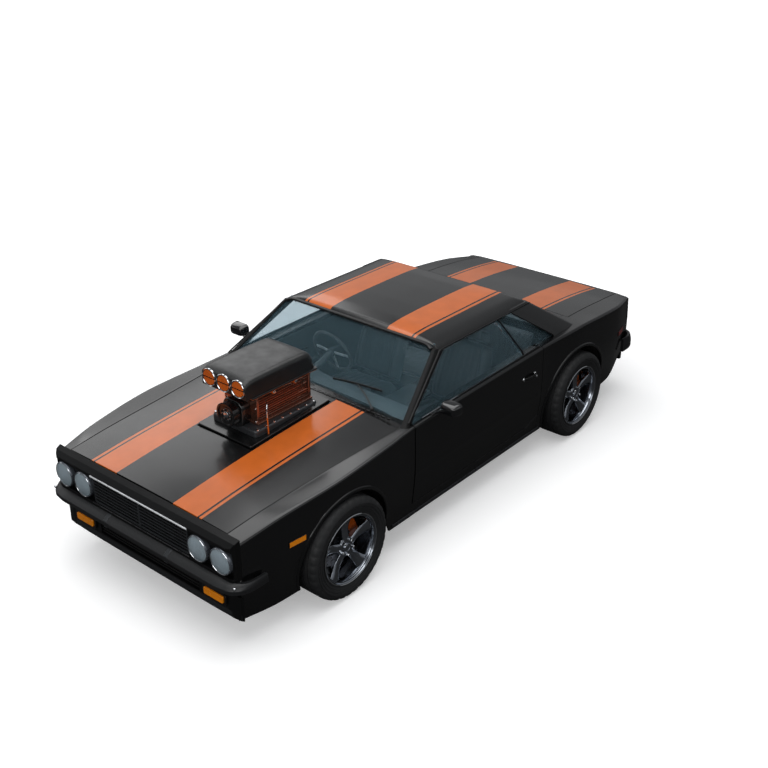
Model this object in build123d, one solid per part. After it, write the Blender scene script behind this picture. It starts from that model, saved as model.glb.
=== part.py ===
"""A two-door muscle car in separate panels, running gear, blower and cabin.

Millimetres. +X is the car's left side, -Y its front, +Z up; z = 0 is the ground.
"""
from build123d import *
from collections import namedtuple
import math
import os

# ---- overall ---------------------------------------------------------------------------
FRONT_AXLE_Y = -1430.0
REAR_AXLE_Y = 1330.0
HUB_Z = 354.0
BUMPER_FRONT_Y = -2370.0
BUMPER_REAR_Y = 2370.0
PANEL_GAP = 8.0
LID_GAP = 6.0
SKIN = 18.0

# ---- outer body: one row for each cross-section along the car ---------------------------
Station = namedtuple("Station", "y bot_z bot_x mid_x mid_z sh_x sh_z top_x top_z mid_top_z")
STATIONS = [
    Station(-2262, 215, 800, 858, 560, 850, 785, 745, 812, 822),
    Station(-1950, 205, 850, 900, 560, 893, 842, 757, 842, 858),
    Station(-1430, 205, 872, 935, 560, 935, 886, 775, 872, 905),
    Station(-1000, 205, 872, 922, 560, 920, 905, 800, 895, 930),
    Station(-700, 205, 872, 908, 560, 903, 922, 830, 912, 942),
    Station(815, 205, 872, 914, 560, 906, 946, 830, 940, 950),
    Station(1330, 205, 875, 945, 560, 928, 952, 770, 950, 966),
    Station(1650, 212, 870, 938, 570, 920, 930, 750, 940, 954),
    Station(1950, 232, 860, 918, 580, 900, 902, 730, 918, 930),
    Station(2262, 400, 815, 842, 600, 825, 862, 705, 878, 892),
]

SHOULDER = 22.0

# ---- wheel openings: a round whose edge nearer the door is let down to the sill -----------
SILL_Z = 205.0
Arch = namedtuple("Arch", "y z r foot_y")
FRONT_ARCH = Arch(FRONT_AXLE_Y + 11, 340, 402, FRONT_AXLE_Y + 475)
REAR_ARCH = Arch(REAR_AXLE_Y - 15, 350, 420, REAR_AXLE_Y - 437)

# ---- roof and glasshouse ----------------------------------------------------------------
SCREEN_BASE = (-766.0, 925.0)
SCREEN_TOP = (-234.0, 1299.0)
ROOF_LINE = [(-100, 1314), (120, 1324), (420, 1326), (640, 1320), (780, 1306)]
REAR_BASE = (1330.0, 950.0)
CANOPY_FOOT_Z = 860.0
ROOF_HALF = [(0, 1328), (300, 1321), (520, 1306), (640, 1290), (700, 1270), (724, 1248)]
BELT_HALF_X = 868.0
BELT_Z = 925.0
ROOF_THICK = 24.0
PILLAR_THICK = 46.0
ROOF_CUT_Z = 1243.0
SCREEN_SIDE = [(-815, 936), (815, 936), (684, 1281), (-684, 1281)]
BACKLIGHT = [(-700, 975), (700, 975), (610, 1276), (-610, 1276)]
WINDOW_SIDE = [(-706, 900), (-706, 934), (-204, 1236), (560, 1243), (628, 1236), (1040, 958),
               (1040, 900)]
GLASS = 5.0
QUARTER_GLASS_INSET = 10.0
DOOR_GLASS_REAR = [(640, 890), (430, 1260)]

# ---- doors ------------------------------------------------------------------------------
DOOR_FRONT_Y = -720.0
DOOR_REAR_Y = 812.0
DOOR_BOTTOM_Z = 317.0
DOOR_CORNER = (665.0, 375.0)
DOOR_INNER_X = 795.0
DOOR_REAR_RAKE = 14.0
DOOR_HINGE_X = 893.0
DOOR_HINGE_BACK = 45.0
DOOR_HINGE_Z = (540.0, 790.0)
HINGE_PIN_R = 4.0
HINGE_EYE_R = 7.0
HINGE_EYE_H = 30.0
HINGE_ARM = 50.0
HINGE_FIT = 0.3

# ---- bonnet, boot lid, blower -----------------------------------------------------------
BONNET_FRONT_Y = -2250.0
BONNET_REAR_Y = -794.0
BONNET_SIDE = [(-2250, 742), (-1430, 772), (-1000, 797), (-794, 815)]
PLATE_HALF_X = 252.0
PLATE_Y = (-1585.0, -842.0)
BOOT_FRONT_Y = 1424.0
BOOT_REAR_Y = 2236.0
BOOT_SIDE = [(1424, 742), (1950, 728), (2236, 702)]
FRONT_JOINT_Y = -2256.0
TAIL_JOINT_Y = 2244.0
LEDGE = 22.0

# ---- floor and bulkheads ----------------------------------------------------------------
FLOOR_Z = 250.0
FLOOR_T = 18.0
FIREWALL_Y = -727.0
BULKHEAD_Y = 1236.0
KICK_Y = (REAR_AXLE_Y - 180, REAR_AXLE_Y + 230)
PAN_Y = (REAR_AXLE_Y - 430, REAR_AXLE_Y - 370)
PAN_Z = 340.0
KICK_Z = 520.0
BOOT_FLOOR_Z = 430.0
WHEELHOUSE_X = 616.0
TUNNEL = [(150.0, 250.0), (120.0, 430.0)]
TUNNEL_T = 15.0

# ---- wheels -----------------------------------------------------------------------------
TYRE_R = 354.0
TYRE_W = 256.0
TYRE_FACE_X = 970.0
RIM_R = 242.0
BARREL_R = RIM_R - 28.0
HUB_R = 74.0
DISC_R = 176.0
DISC_X = (792.0, 816.0)
LINER = 12.0
LINER_GAP = 6.0
FRONT_LINER_R = 434.0
KINGPIN_X = 742.0
SPOKES = 5


# ---- small helpers ----------------------------------------------------------------------
def box(x0, x1, y0, y1, z0, z1):
    return Solid.make_box(x1 - x0, y1 - y0, z1 - z0).translate(Vector(x0, y0, z0))


def prism(points, push):
    """A polygon of 3-D points pushed along one vector."""
    face = Face(Wire.make_polygon([Vector(*p) for p in points], close=True))
    return Solid.extrude(face, Vector(*push))


def prism_yz(points, x0, x1):
    return prism([(x0, y, z) for y, z in points], (x1 - x0, 0, 0))


def prism_xz(points, y0, y1):
    return prism([(x, y0, z) for x, z in points], (0, y1 - y0, 0))


def prism_xy(points, z0, z1):
    return prism([(x, y, z0) for x, y in points], (0, 0, z1 - z0))


def rod(a, b, r):
    a, b = Vector(*a), Vector(*b)
    return Solid.make_cylinder(r, (b - a).length, Plane(origin=a, z_dir=(b - a).normalized()))


def rod_x(x0, x1, y, z, r):
    return rod((x0, y, z), (x1, y, z), r)


def ring_x(x0, x1, y, z, r_out, r_in):
    return rod_x(x0, x1, y, z, r_out) - rod_x(x0 - 1, x1 + 1, y, z, r_in)


def half_sides(points):
    """Closed outline from its right half (x >= 0), listed from one end to the other."""
    return points + [(-x, v) for x, v in reversed(points) if x > 0]


def turned(profile, y, z):
    """A (x, radius) outline turned about the line through (y, z) along X."""
    face = Face(Wire.make_polygon([Vector(x, y, z + r) for x, r in profile], close=True))
    return revolve(face, Axis((0, y, z), (1, 0, 0)), 360)


def flip(shape):
    return mirror(shape, about=Plane.YZ)


def group(*shapes):
    solids = []
    for shape in shapes:
        solids += list(shape.solids())
    return Compound(solids)


def only(shape, *keep):
    for tool in keep:
        shape = shape & tool
    return group(shape)


# ---- outer body -------------------------------------------------------------------------
def toward(a, b, step):
    """The point one step from a on the way to b."""
    t = step / math.dist(a, b)
    return a[0] + (b[0] - a[0]) * t, a[1] + (b[1] - a[1]) * t


def body_loft(side=0.0, top=0.0, down=0.0, rows=None):
    """The lower body as a ruled loft, drawn in by `side` and `top`, its foot let down."""
    wires = []
    for s in rows or STATIONS:
        mid, edge = (s.mid_x - side, s.mid_z), (s.sh_x - side, s.sh_z - top)
        inner = (s.top_x - side, s.top_z - top)
        half = [(s.bot_x - side, s.bot_z - down), mid, toward(edge, mid, SHOULDER),
                toward(edge, inner, SHOULDER), inner, (0, s.mid_top_z - top)]
        ring = half + [(-x, z) for x, z in reversed(half[:-1])]
        wires.append(Wire.make_polygon([Vector(x, s.y, z) for x, z in ring], close=True))
    return Solid.make_loft(wires, ruled=True)


def canopy_outer():
    side = [(SCREEN_BASE[0], CANOPY_FOOT_Z), SCREEN_BASE, SCREEN_TOP] + ROOF_LINE
    side += [REAR_BASE, (REAR_BASE[0], CANOPY_FOOT_Z)]
    foot_x = BELT_HALF_X + (BELT_Z - CANOPY_FOOT_Z) * 0.45
    section = ROOF_HALF + [(foot_x, CANOPY_FOOT_Z)]
    return prism_yz(side, -950, 950) & prism_xz(half_sides(section), -900, 1500)


def canopy_inner():
    t, p = ROOF_THICK, PILLAR_THICK
    side = [(SCREEN_BASE[0] + 60, CANOPY_FOOT_Z - 20), (SCREEN_BASE[0] + 60, SCREEN_BASE[1]),
            (SCREEN_TOP[0] + 30, SCREEN_TOP[1] - t)] + [(y, z - t) for y, z in ROOF_LINE]
    side += [(REAR_BASE[0] - 56, REAR_BASE[1]), (REAR_BASE[0] - 56, CANOPY_FOOT_Z - 20)]
    foot_x = BELT_HALF_X + (BELT_Z - CANOPY_FOOT_Z + 20) * 0.45 - p
    section = [(x * 0.955, z - t) for x, z in ROOF_HALF[:-1]]
    section += [(ROOF_HALF[-1][0] - p, ROOF_HALF[-1][1] - 10), (foot_x, CANOPY_FOOT_Z - 20)]
    return prism_yz(side, -950, 950) & prism_xz(half_sides(section), -900, 1500)


def arch_cut(arch):
    """One left-hand wheel opening as a cutting shape."""
    edge = arch.y + math.copysign(arch.r, arch.foot_y - arch.y)
    low_z = SILL_Z - 100
    low_y = edge + (arch.foot_y - edge) * (arch.z - low_z) / (arch.z - SILL_Z)
    foot = prism_yz([(arch.y, arch.z), (edge, arch.z), (low_y, low_z), (arch.y, low_z)], 640, 1100)
    return rod_x(640, 1100, arch.y, arch.z, arch.r) + foot


def minus(shape, cuts):
    """The shape with every solid of every cutter taken off, one at a time."""
    for cut in cuts:
        for solid in cut.solids():
            shape = shape - solid
    return shape


def door_outline(grow=0.0):
    """The door's edge in side view, grown outward by `grow`."""
    g = grow
    return [(DOOR_FRONT_Y - g, DOOR_BOTTOM_Z - g), (DOOR_CORNER[0] + 0.4 * g, DOOR_BOTTOM_Z - g),
            (DOOR_REAR_Y + g, DOOR_CORNER[1] - 0.4 * g), (DOOR_REAR_Y + g, 1000),
            (DOOR_FRONT_Y - g, 1000)]


def bonnet_outline(grow=0.0):
    g = grow
    right = [(x + g, y) for y, x in BONNET_SIDE]
    right[0] = (right[0][0], BONNET_FRONT_Y - g)
    right[-1] = (right[-1][0], BONNET_REAR_Y + g)
    return right + [(-x, y) for x, y in reversed(right)]


def boot_outline(grow=0.0):
    g = grow
    right = [(x + g, y) for y, x in BOOT_SIDE]
    right[0] = (right[0][0], BOOT_FRONT_Y - g)
    right[-1] = (right[-1][0], BOOT_REAR_Y + g)
    return right + [(-x, y) for x, y in reversed(right)]


# ---- panels -----------------------------------------------------------------------------
def ledge(outline, deep, outer_x):
    """A gutter the lid rests on, following the body's top just under the lid."""
    band = body_loft(side=SKIN, top=SKIN - 2) - body_loft(side=SKIN, top=SKIN + 6)
    band = band & prism_xy(outline(outer_x), 700, 1100)
    band = band - prism_xy(outline(-LEDGE), 700, 1100)
    room = prism_xy(outline(LID_GAP), 700, 1100) - body_loft(side=SKIN, top=SKIN + SEAT_FIT)
    return band - room


def main_shells():
    outer = body_loft()
    hollow = body_loft(side=SKIN, top=SKIN, down=60)
    canopy = canopy_outer() - canopy_inner()
    side_cut = prism_yz(WINDOW_SIDE, -1000, 1000)
    screen_cut = prism_xz(SCREEN_SIDE, -900, -120)
    back_cut = prism_xz(BACKLIGHT, 700, 1500)
    frame = minus(canopy, [side_cut, screen_cut, back_cut])
    belt_gap = box(-1000, 1000, DOOR_FRONT_Y - PANEL_GAP, DOOR_REAR_Y + PANEL_GAP, 800, 932)
    return outer, outer - hollow, frame - belt_gap


def make_bonnet(skin):
    opening = box(-PLATE_HALF_X - LID_GAP, PLATE_HALF_X + LID_GAP, PLATE_Y[0] - LID_GAP,
                  PLATE_Y[1] + LID_GAP, 700, 1100)
    return only(skin - opening, prism_xy(bonnet_outline(), 700, 1100))


def make_wing(skin):
    wing = skin & box(700, 1000, FRONT_JOINT_Y, DOOR_FRONT_Y - PANEL_GAP, 0, 1100)
    wing = minus(wing, [prism_xy(bonnet_outline(LID_GAP), 700, 1100), arch_cut(FRONT_ARCH)])
    cowl = box(600, BONNET_SIDE[-1][1] + LID_GAP, BONNET_REAR_Y - 20, 0, 700, 1100)
    wing = minus(wing, [prism_yz(door_outline(PANEL_GAP), 0, 1000), canopy_outer(), cowl])
    rest = ledge(bonnet_outline, LEDGE, 24) & box(600, 1000, -2200, -900, 0, 1100)
    return group(max((wing + rest).solids(), key=lambda s: s.volume))


def make_quarter(outer, skin, frame):
    front = DOOR_REAR_Y + PANEL_GAP
    quarter = skin & box(700, 1000, front, TAIL_JOINT_Y, 0, 1100)
    wall = outer & box(DOOR_INNER_X, 1000, front, BULKHEAD_Y, SILL_Z, 1100)
    house = REAR_ARCH.r + LINER_GAP + LINER
    wall = wall - rod_x(0, 1000, REAR_ARCH.y, REAR_ARCH.z, house)
    quarter = quarter + wall
    quarter = minus(quarter, [prism_xy(boot_outline(LID_GAP), 700, 1100), arch_cut(REAR_ARCH)])
    quarter = quarter - canopy_outer() - prism_yz(WINDOW_SIDE, 0, 1000)
    pillar = frame & box(560, 1000, 600, 1400, CANOPY_FOOT_Z, ROOF_CUT_Z)
    rest = ledge(boot_outline, LEDGE, 24) & box(600, 1000, 1480, 2180, 0, 1100)
    quarter = quarter + pillar + rest
    quarter = quarter - prism_yz(door_outline(PANEL_GAP), 0, 1000)
    return group(max(quarter.solids(), key=lambda s: s.volume))


def make_door(outer):
    y = DOOR_FRONT_Y + DOOR_HINGE_BACK
    plan = [(DOOR_INNER_X, DOOR_FRONT_Y), (1000, DOOR_FRONT_Y), (1000, DOOR_REAR_Y),
            (918, DOOR_REAR_Y), (DOOR_INNER_X, DOOR_REAR_Y - DOOR_REAR_RAKE)]
    door = outer & prism_yz(door_outline(), 0, 1000) & prism_xy(plan, 0, 1100)
    for z in DOOR_HINGE_Z:
        h = HINGE_EYE_H / 2 + 6
        door = door - box(DOOR_INNER_X - 10, DOOR_HINGE_X + HINGE_EYE_R + 1.5, DOOR_FRONT_Y - 10,
                          y + HINGE_EYE_R + 8, z - h, z + h)
        door = door + rod((DOOR_HINGE_X, y, z - h - 2), (DOOR_HINGE_X, y, z + h + 2), HINGE_PIN_R)
    return group(door)


def hinge_leaf(z):
    """The fixed half of a door hinge: an eye round the pin and an arm to the front post."""
    y = DOOR_FRONT_Y + DOOR_HINGE_BACK
    h = HINGE_EYE_H / 2
    eye = rod((DOOR_HINGE_X, y, z - h), (DOOR_HINGE_X, y, z + h), HINGE_EYE_R)
    inner = DOOR_HINGE_X - HINGE_ARM
    arm = box(inner - 8, DOOR_HINGE_X, y - 4, y + 4, z - h, z + h)
    arm = arm + box(inner - 8, inner, FIREWALL_Y - 2, y + 4, z - h, z + h)
    bore = rod((DOOR_HINGE_X, y, z - 40), (DOOR_HINGE_X, y, z + 40), HINGE_PIN_R + HINGE_FIT)
    return eye + arm - bore


def make_firewall(lining, frame):
    wall = box(-DOOR_INNER_X, DOOR_INNER_X, FIREWALL_Y - 18, FIREWALL_Y, FLOOR_Z, 905)
    wall = wall - prism_xz(half_sides([(150, 200), (120, 430)]), -800, -700)
    post = box(DOOR_INNER_X - 5, 900, FIREWALL_Y - 60, FIREWALL_Y, SILL_Z, 902) & lining
    for z in DOOR_HINGE_Z:
        post = post + hinge_leaf(z)
    return minus((wall & lining) + post + flip(post), [frame])


def make_cowl(skin, frame):
    """Windscreen frame: both front pillars, the header foot and the cowl strip."""
    side = BONNET_SIDE[-1][1] + LID_GAP
    strip = skin & box(-side, side, BONNET_REAR_Y + LID_GAP, DOOR_FRONT_Y - PANEL_GAP, 700, 1100)
    strip = strip - canopy_outer()
    pillars = frame & box(-1000, 1000, -900, 0, CANOPY_FOOT_Z, ROOF_CUT_Z)
    return group(max((strip + pillars).solids(), key=lambda s: s.volume))


def make_rear_deck(skin, frame):
    """The panel between the rear window and the boot lid, with the window's foot."""
    strip = skin & box(-700, 700, REAR_BASE[0], BOOT_FRONT_Y - LID_GAP, 700, 1100)
    strip = strip - canopy_outer()
    foot = frame & box(-560, 560, 600, 1400, CANOPY_FOOT_Z, ROOF_CUT_Z)
    tray = box(-560, 560, 1200, 1290, 905, 930)
    return strip + foot + (tray - frame)


def make_roof(frame):
    return group(frame & box(-1000, 1000, -900, 1500, ROOF_CUT_Z, 1400))


def glass_slab(a, b, deep, x0, x1, inward):
    """A flat pane parallel to the line a-b in side view, `deep` inside it."""
    n = Vector(0, *inward) * deep
    m = Vector(0, *inward) * (deep + GLASS)
    pts = [Vector(x0, *a) + n, Vector(x0, *b) + n, Vector(x0, *b) + m, Vector(x0, *a) + m]
    return prism([tuple(p) for p in pts], (x1 - x0, 0, 0))


def unit(dy, dz):
    size = math.hypot(dy, dz)
    return dy / size, dz / size


def make_glass(door):
    out = {}
    dy, dz = unit(SCREEN_TOP[0] - SCREEN_BASE[0], SCREEN_TOP[1] - SCREEN_BASE[1])
    pane = glass_slab(SCREEN_BASE, SCREEN_TOP, 10, -900, 900, (dz, -dy))
    out["windscreen"] = only(pane, prism_xz(SCREEN_SIDE, -900, -120))
    top = ROOF_LINE[-1]
    dy, dz = unit(REAR_BASE[0] - top[0], REAR_BASE[1] - top[1])
    pane = glass_slab(top, REAR_BASE, 18, -900, 900, (dz, -dy))
    out["rear_window"] = only(pane, prism_xz(BACKLIGHT, 700, 1500))
    rail, belt = ROOF_HALF[-1], (BELT_HALF_X, BELT_Z)
    dx, dz = unit(belt[0] - rail[0], belt[1] - rail[1])
    for name, deep in (("door_glass", 4.0), ("quarter_glass", 4.0 + GLASS + QUARTER_GLASS_INSET)):
        n, m = (dz * deep, -dx * deep), (dz * (deep + GLASS), -dx * (deep + GLASS))
        a = (rail[0] - dx * 20, rail[1] - dz * 20)
        b = (belt[0] + dx * 60, belt[1] + dz * 60)
        pts = [(a[0] + n[0], a[1] + n[1]), (b[0] + n[0], b[1] + n[1]),
               (b[0] + m[0], b[1] + m[1]), (a[0] + m[0], a[1] + m[1])]
        out[name] = prism_xz(pts, -900, 1200)
    low, high = DOOR_GLASS_REAR
    front, top = WINDOW_SIDE[1], WINDOW_SIDE[2]
    edge = [(front[0] + 4, 880), (front[0] + 4, front[1] - 6), (top[0] + 12, top[1] - 7),
            (high[0] + 14, WINDOW_SIDE[3][1] - 8), (low[0], low[1])]
    out["door_glass"] = only(out["door_glass"], prism_yz(edge, 0, 1000))
    out["door_glass"] = minus(out["door_glass"], [door])
    back = [(low[0] - 12, low[1]), (high[0] - 12 + 10, 1242)] + WINDOW_SIDE[3:6]
    back += [(WINDOW_SIDE[6][0], 890)]
    pane = only(out["quarter_glass"], prism_yz(back, 0, 1000))
    out["quarter_glass"] = pane - box(0, 1000, 0, DOOR_REAR_Y + PANEL_GAP, 0, 958)
    return out


# ---- nose and tail ----------------------------------------------------------------------
NOSE_Y = -2318.0
NOSE_PLAN = [(854, FRONT_JOINT_Y), (848, -2290), (830, -2312), (800, NOSE_Y)]
NOSE_SIDE = [(FRONT_JOINT_Y, 818), (-2294, 802), (NOSE_Y, 768), (NOSE_Y, 540),
             (FRONT_JOINT_Y, 540)]
GRILLE_HALF_X = 452.0
GRILLE_Z = (564.0, 746.0)
LAMP_X = (550.0, 748.0)
LAMP_Z = 658.0
LAMP_R = 84.0
LAMP_POCKET_X = 836.0
LAMP_DEPTH = 28.0
LAMP_PROUD = 16.0
TAIL_Y = 2292.0
TAIL_PLAN = [(842, TAIL_JOINT_Y), (836, 2272), (800, TAIL_Y)]
TAIL_SIDE = [(TAIL_JOINT_Y, 450), (TAIL_JOINT_Y, 893), (2272, 884), (TAIL_Y, 862), (TAIL_Y, 450)]
TAIL_SECTION = [(0, 892), (705, 878), (825, 862), (842, 600), (815, 450)]
BUMPER_T = 26.0
BUMPER_SLOPE = 50.0
FB, RB = BUMPER_FRONT_Y, BUMPER_REAR_Y
FRONT_BUMPER = [(0, FB), (740, FB), (846, FB + 18), (900, FB + 74), (918, FB + 140),
                (918, FB + 260)]
FRONT_INNER = [(0, FB + BUMPER_T), (732, FB + BUMPER_T), (832, FB + 43), (876, FB + 88),
               (892, FB + 148), (892, FB + 260)]
FRONT_TOP = [(0, FB + BUMPER_SLOPE), (724, FB + BUMPER_SLOPE), (832, FB + 62), (886, FB + 90),
             (908, FB + 148), (910, FB + 260)]
FRONT_TOP_INNER = [(0, FB + BUMPER_SLOPE + BUMPER_T), (676, FB + BUMPER_SLOPE + BUMPER_T),
                   (804, FB + 85), (862, FB + 104), (886, FB + 152), (888, FB + 260)]
REAR_BUMPER = [(0, RB), (740, RB), (834, RB - 20), (886, RB - 80), (906, RB - 154),
               (906, RB - 260)]
REAR_INNER = [(0, RB - BUMPER_T), (732, RB - BUMPER_T), (820, RB - 45), (862, RB - 94),
              (880, RB - 160), (880, RB - 260)]
REAR_TOP = [(0, RB - BUMPER_SLOPE), (724, RB - BUMPER_SLOPE), (822, RB - 56), (872, RB - 88),
            (898, RB - 156), (902, RB - 260)]
REAR_TOP_INNER = [(0, RB - BUMPER_SLOPE - BUMPER_T + 2), (682, RB - BUMPER_SLOPE - BUMPER_T + 2),
                  (806, RB - BUMPER_SLOPE - BUMPER_T + 2), (852, RB - 94), (880, RB - 160),
                  (882, RB - 260)]
FRONT_BUMPER_Z = (478.0, 505.0, 538.0)
REAR_BUMPER_Z = (444.0, 494.0, 560.0)
VALANCE_Y = (-2276.0, FRONT_JOINT_Y)
VALANCE_Z = (238.0, 412.0)
BRACKET_X = 410.0
PLATE_BOLT_X = 89.0
PLATE_BOLT_R = 3.25
SEAT_FIT = 0.3


def make_front_panel():
    plan = [(-x, y) for x, y in NOSE_PLAN] + [(x, y) for x, y in reversed(NOSE_PLAN)]
    nose = prism_xy(plan, 500, 900) & prism_yz(NOSE_SIDE, -900, 900)
    nose = nose - box(-GRILLE_HALF_X, GRILLE_HALF_X, -2400, -2200, *GRILLE_Z)
    for s in (1, -1):
        pocket = box(GRILLE_HALF_X - 1, LAMP_POCKET_X, NOSE_Y - 10, NOSE_Y + LAMP_DEPTH, *GRILLE_Z)
        nose = nose - (pocket if s > 0 else flip(pocket))
    return nose


def make_grille():
    z0, z1 = GRILLE_Z
    y0, y1 = NOSE_Y + 8, NOSE_Y + 34
    w = GRILLE_HALF_X
    grille = box(-w, w, y0, y1, z0, z0 + 10) + box(-w, w, y0, y1, z1 - 10, z1)
    for x in (-w, -6, w - 12):
        grille = grille + box(x, x + 12, y0, y1, z0, z1)
    slats = 8
    for i in range(1, slats):
        z = z0 + (z1 - z0) * i / slats
        grille = grille + box(-w, w, y0 + 3, y1 - 6, z - 3, z + 3)
    return grille


def make_headlamps():
    lamps = []
    for x in LAMP_X:
        for s in (1, -1):
            y = NOSE_Y + LAMP_DEPTH
            lamps.append(rod((s * x, y, LAMP_Z), (s * x, NOSE_Y - LAMP_PROUD, LAMP_Z), LAMP_R))
    return group(*lamps)


def bumper(outer, inner, top_outer, top_inner, heights):
    """A blade bent round the corners: upright below, sloping back to the car above."""
    low, mid, high = heights
    foot, head = outer + list(reversed(inner)), top_outer + list(reversed(top_inner))
    wires = []
    for ring, z in ((foot, mid), (head, high)):
        wires.append(Wire.make_polygon([Vector(x, y, z) for x, y in ring], close=True))
    blade = prism_xy(foot, low, mid) + Solid.make_loft(wires, ruled=True)
    blade = blade + flip(blade)
    y0, y1 = sorted((outer[0][1], inner[0][1]))
    for x in (-PLATE_BOLT_X, PLATE_BOLT_X):
        z = (low + mid) / 2
        blade = blade - rod((x, y0 - 5, z), (x, y1 + 5, z), PLATE_BOLT_R)
    return blade


def make_front_valance():
    y0, y1 = VALANCE_Y
    plan = [(-852, y1), (-835, y0 + 8), (-780, y0), (780, y0), (835, y0 + 8), (852, y1)]
    valance = prism_xy(plan, *VALANCE_Z)
    valance = valance - box(-480, 480, y0 - 5, y1 + 5, 292, 396)
    return valance


def make_support(lining):
    """Upright panel behind the grille that ties the wings and rails together."""
    y0, y1 = FRONT_JOINT_Y, FRONT_JOINT_Y + 16
    panel = box(-820, 820, y0, y1, 280, 780) & lining
    panel = panel - box(-380, 380, y0 - 5, y1 + 5, 390, 740)
    low, mid, _ = FRONT_BUMPER_Z
    for x in (-BRACKET_X, BRACKET_X):
        panel = panel + box(x - 20, x + 20, BUMPER_FRONT_Y + BUMPER_T + SEAT_FIT, y0 + 1,
                            low + 2, mid - 1)
    return panel


def make_tail_panel():
    plan = [(-x, y) for x, y in TAIL_PLAN] + [(x, y) for x, y in reversed(TAIL_PLAN)]
    tail = prism_xy(plan, 400, 900) & prism_yz(TAIL_SIDE, -900, 900)
    tail = tail & prism_xz(half_sides(TAIL_SECTION), 2200, 2400)
    tail = tail - box(-780, 780, TAIL_JOINT_Y - 5, TAIL_Y - 20, 480, 850)
    for x in (-BRACKET_X, BRACKET_X):
        tail = tail + box(x - 20, x + 20, TAIL_Y - 10, BUMPER_REAR_Y - BUMPER_T - SEAT_FIT, 450, 490)
    return tail


def make_tail_lamps():
    lamp = box(420, 790, TAIL_Y, TAIL_Y + 10, 655, 760)
    return group(lamp, flip(lamp))


def make_rear_valance():
    y = TAIL_JOINT_Y
    return box(-812, 812, y, y + 30, 300, 450)


# ---- floor ------------------------------------------------------------------------------
def make_floor():
    t = FLOOR_T
    z, k, b = FLOOR_Z, KICK_Z, BOOT_FLOOR_Z
    p0, p1 = PAN_Y
    line = [(FIREWALL_Y, z), (p0, z), (p1, PAN_Z), (KICK_Y[0], PAN_Z), (KICK_Y[0], k),
            (KICK_Y[1] - t, k), (KICK_Y[1] - t, b), (TAIL_JOINT_Y, b)]
    back = [(TAIL_JOINT_Y, b + t), (KICK_Y[1], b + t), (KICK_Y[1], k + t), (KICK_Y[0] - t, k + t),
            (KICK_Y[0] - t, PAN_Z + t), (p1 - t / 2, PAN_Z + t), (p0 - t / 2, z + t),
            (FIREWALL_Y, z + t)]
    floor = prism_yz(line + back, -DOOR_INNER_X, DOOR_INNER_X)
    for s in (1, -1):
        house = box(WHEELHOUSE_X, 1000, REAR_AXLE_Y - 450, REAR_AXLE_Y + 460, 0, 1100)
        floor = floor - (house if s > 0 else flip(house))
    low, high = TUNNEL
    tube = [(low[0], z), (high[0], high[1]), (-high[0], high[1]), (-low[0], z)]
    hole = [(low[0] - TUNNEL_T, z - 20), (high[0] - TUNNEL_T, high[1] - TUNNEL_T),
            (-high[0] + TUNNEL_T, high[1] - TUNNEL_T), (-low[0] + TUNNEL_T, z - 20)]
    floor = floor + prism_xz(tube, FIREWALL_Y, KICK_Y[0])
    floor = floor - prism_xz(hole, FIREWALL_Y - 5, KICK_Y[0] + 5)
    bulkhead = box(-600, 600, BULKHEAD_Y, BULKHEAD_Y + 14, k + t - 2, 905)
    return floor + bulkhead


def make_sills(outer):
    sill = outer & box(700, 1000, FIREWALL_Y, DOOR_REAR_Y + PANEL_GAP, SILL_Z,
                       DOOR_BOTTOM_Z - PANEL_GAP)
    sill = sill - box(700, DOOR_INNER_X, -900, 900, FLOOR_Z, 400)
    return group(sill, flip(sill))


def make_wheelhouse(y, z, r, x0, lining, wall):
    """Half-round liner over a wheel, closed at its inner end when `wall` is set."""
    liner = ring_x(x0, 940, y, z, r + LINER, r)
    if wall:
        liner = liner + rod_x(x0, x0 + LINER, y, z, r + LINER)
    keep = FLOOR_Z if wall else z + 30
    liner = liner & box(0, 1000, y - 500, y + 500, keep, 1000)
    liner = liner - box(0, x0 + LINER + 5, y - 95, y + 95, 0, z + 110)
    return liner & lining


# ---- running gear -----------------------------------------------------------------------
RAIL_X = (380.0, 440.0)
RAIL_Z = (290.0, 360.0)
CROSS_Z = (230.0, 290.0)
ARM_Z = ((232.0, 262.0), (480.0, 500.0))
ARM_HALF = 25.0
AXLE_TUBE_R = 42.0
SPINDLE_R = 38.0
HUB_BACK_X = 786.0
GEARBOX_REAR_Y = -330.0
SPRING_X = 520.0


def make_subframe():
    y = FRONT_AXLE_Y
    sub = box(-RAIL_X[1], RAIL_X[1], y - 70, y + 70, *CROSS_Z)
    for s in (1, -1):
        rail = box(RAIL_X[0], RAIL_X[1], FRONT_JOINT_Y + 16, FIREWALL_Y - 18, *RAIL_Z)
        tower = box(RAIL_X[0] + 10, RAIL_X[1], y - 60, y + 60, RAIL_Z[1] - 1, 520)
        side = rail + tower
        for z0, z1 in ARM_Z:
            plan = [(RAIL_X[1] - 5, y - 80), (KINGPIN_X, y - ARM_HALF), (KINGPIN_X + 20, y),
                    (KINGPIN_X, y + ARM_HALF), (RAIL_X[1] - 5, y + 80)]
            side = side + prism_xy(plan, z0, z1)
        sub = sub + (side if s > 0 else flip(side))
    return sub


def caliper(y, back, fit_r):
    """Brake caliper over the disc on the +Y side, with its lug to the upright."""
    x0, x1 = DISC_X
    body = ring_x(x0 - 26, x1 + 28, y, HUB_Z, DISC_R + 18, DISC_R - 62)
    body = body & box(0, 1000, y + 60, y + 300, HUB_Z - 75, HUB_Z + 75)
    slot = rod_x(x0 - 5, x1 + 5, y, HUB_Z, DISC_R + 5.5)
    body = body - slot
    lug = box(back, x0 - 14, y + 20, y + 130, HUB_Z - 22, HUB_Z + 22)
    return body + (lug - rod_x(0, 1000, y, HUB_Z, fit_r))


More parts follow.
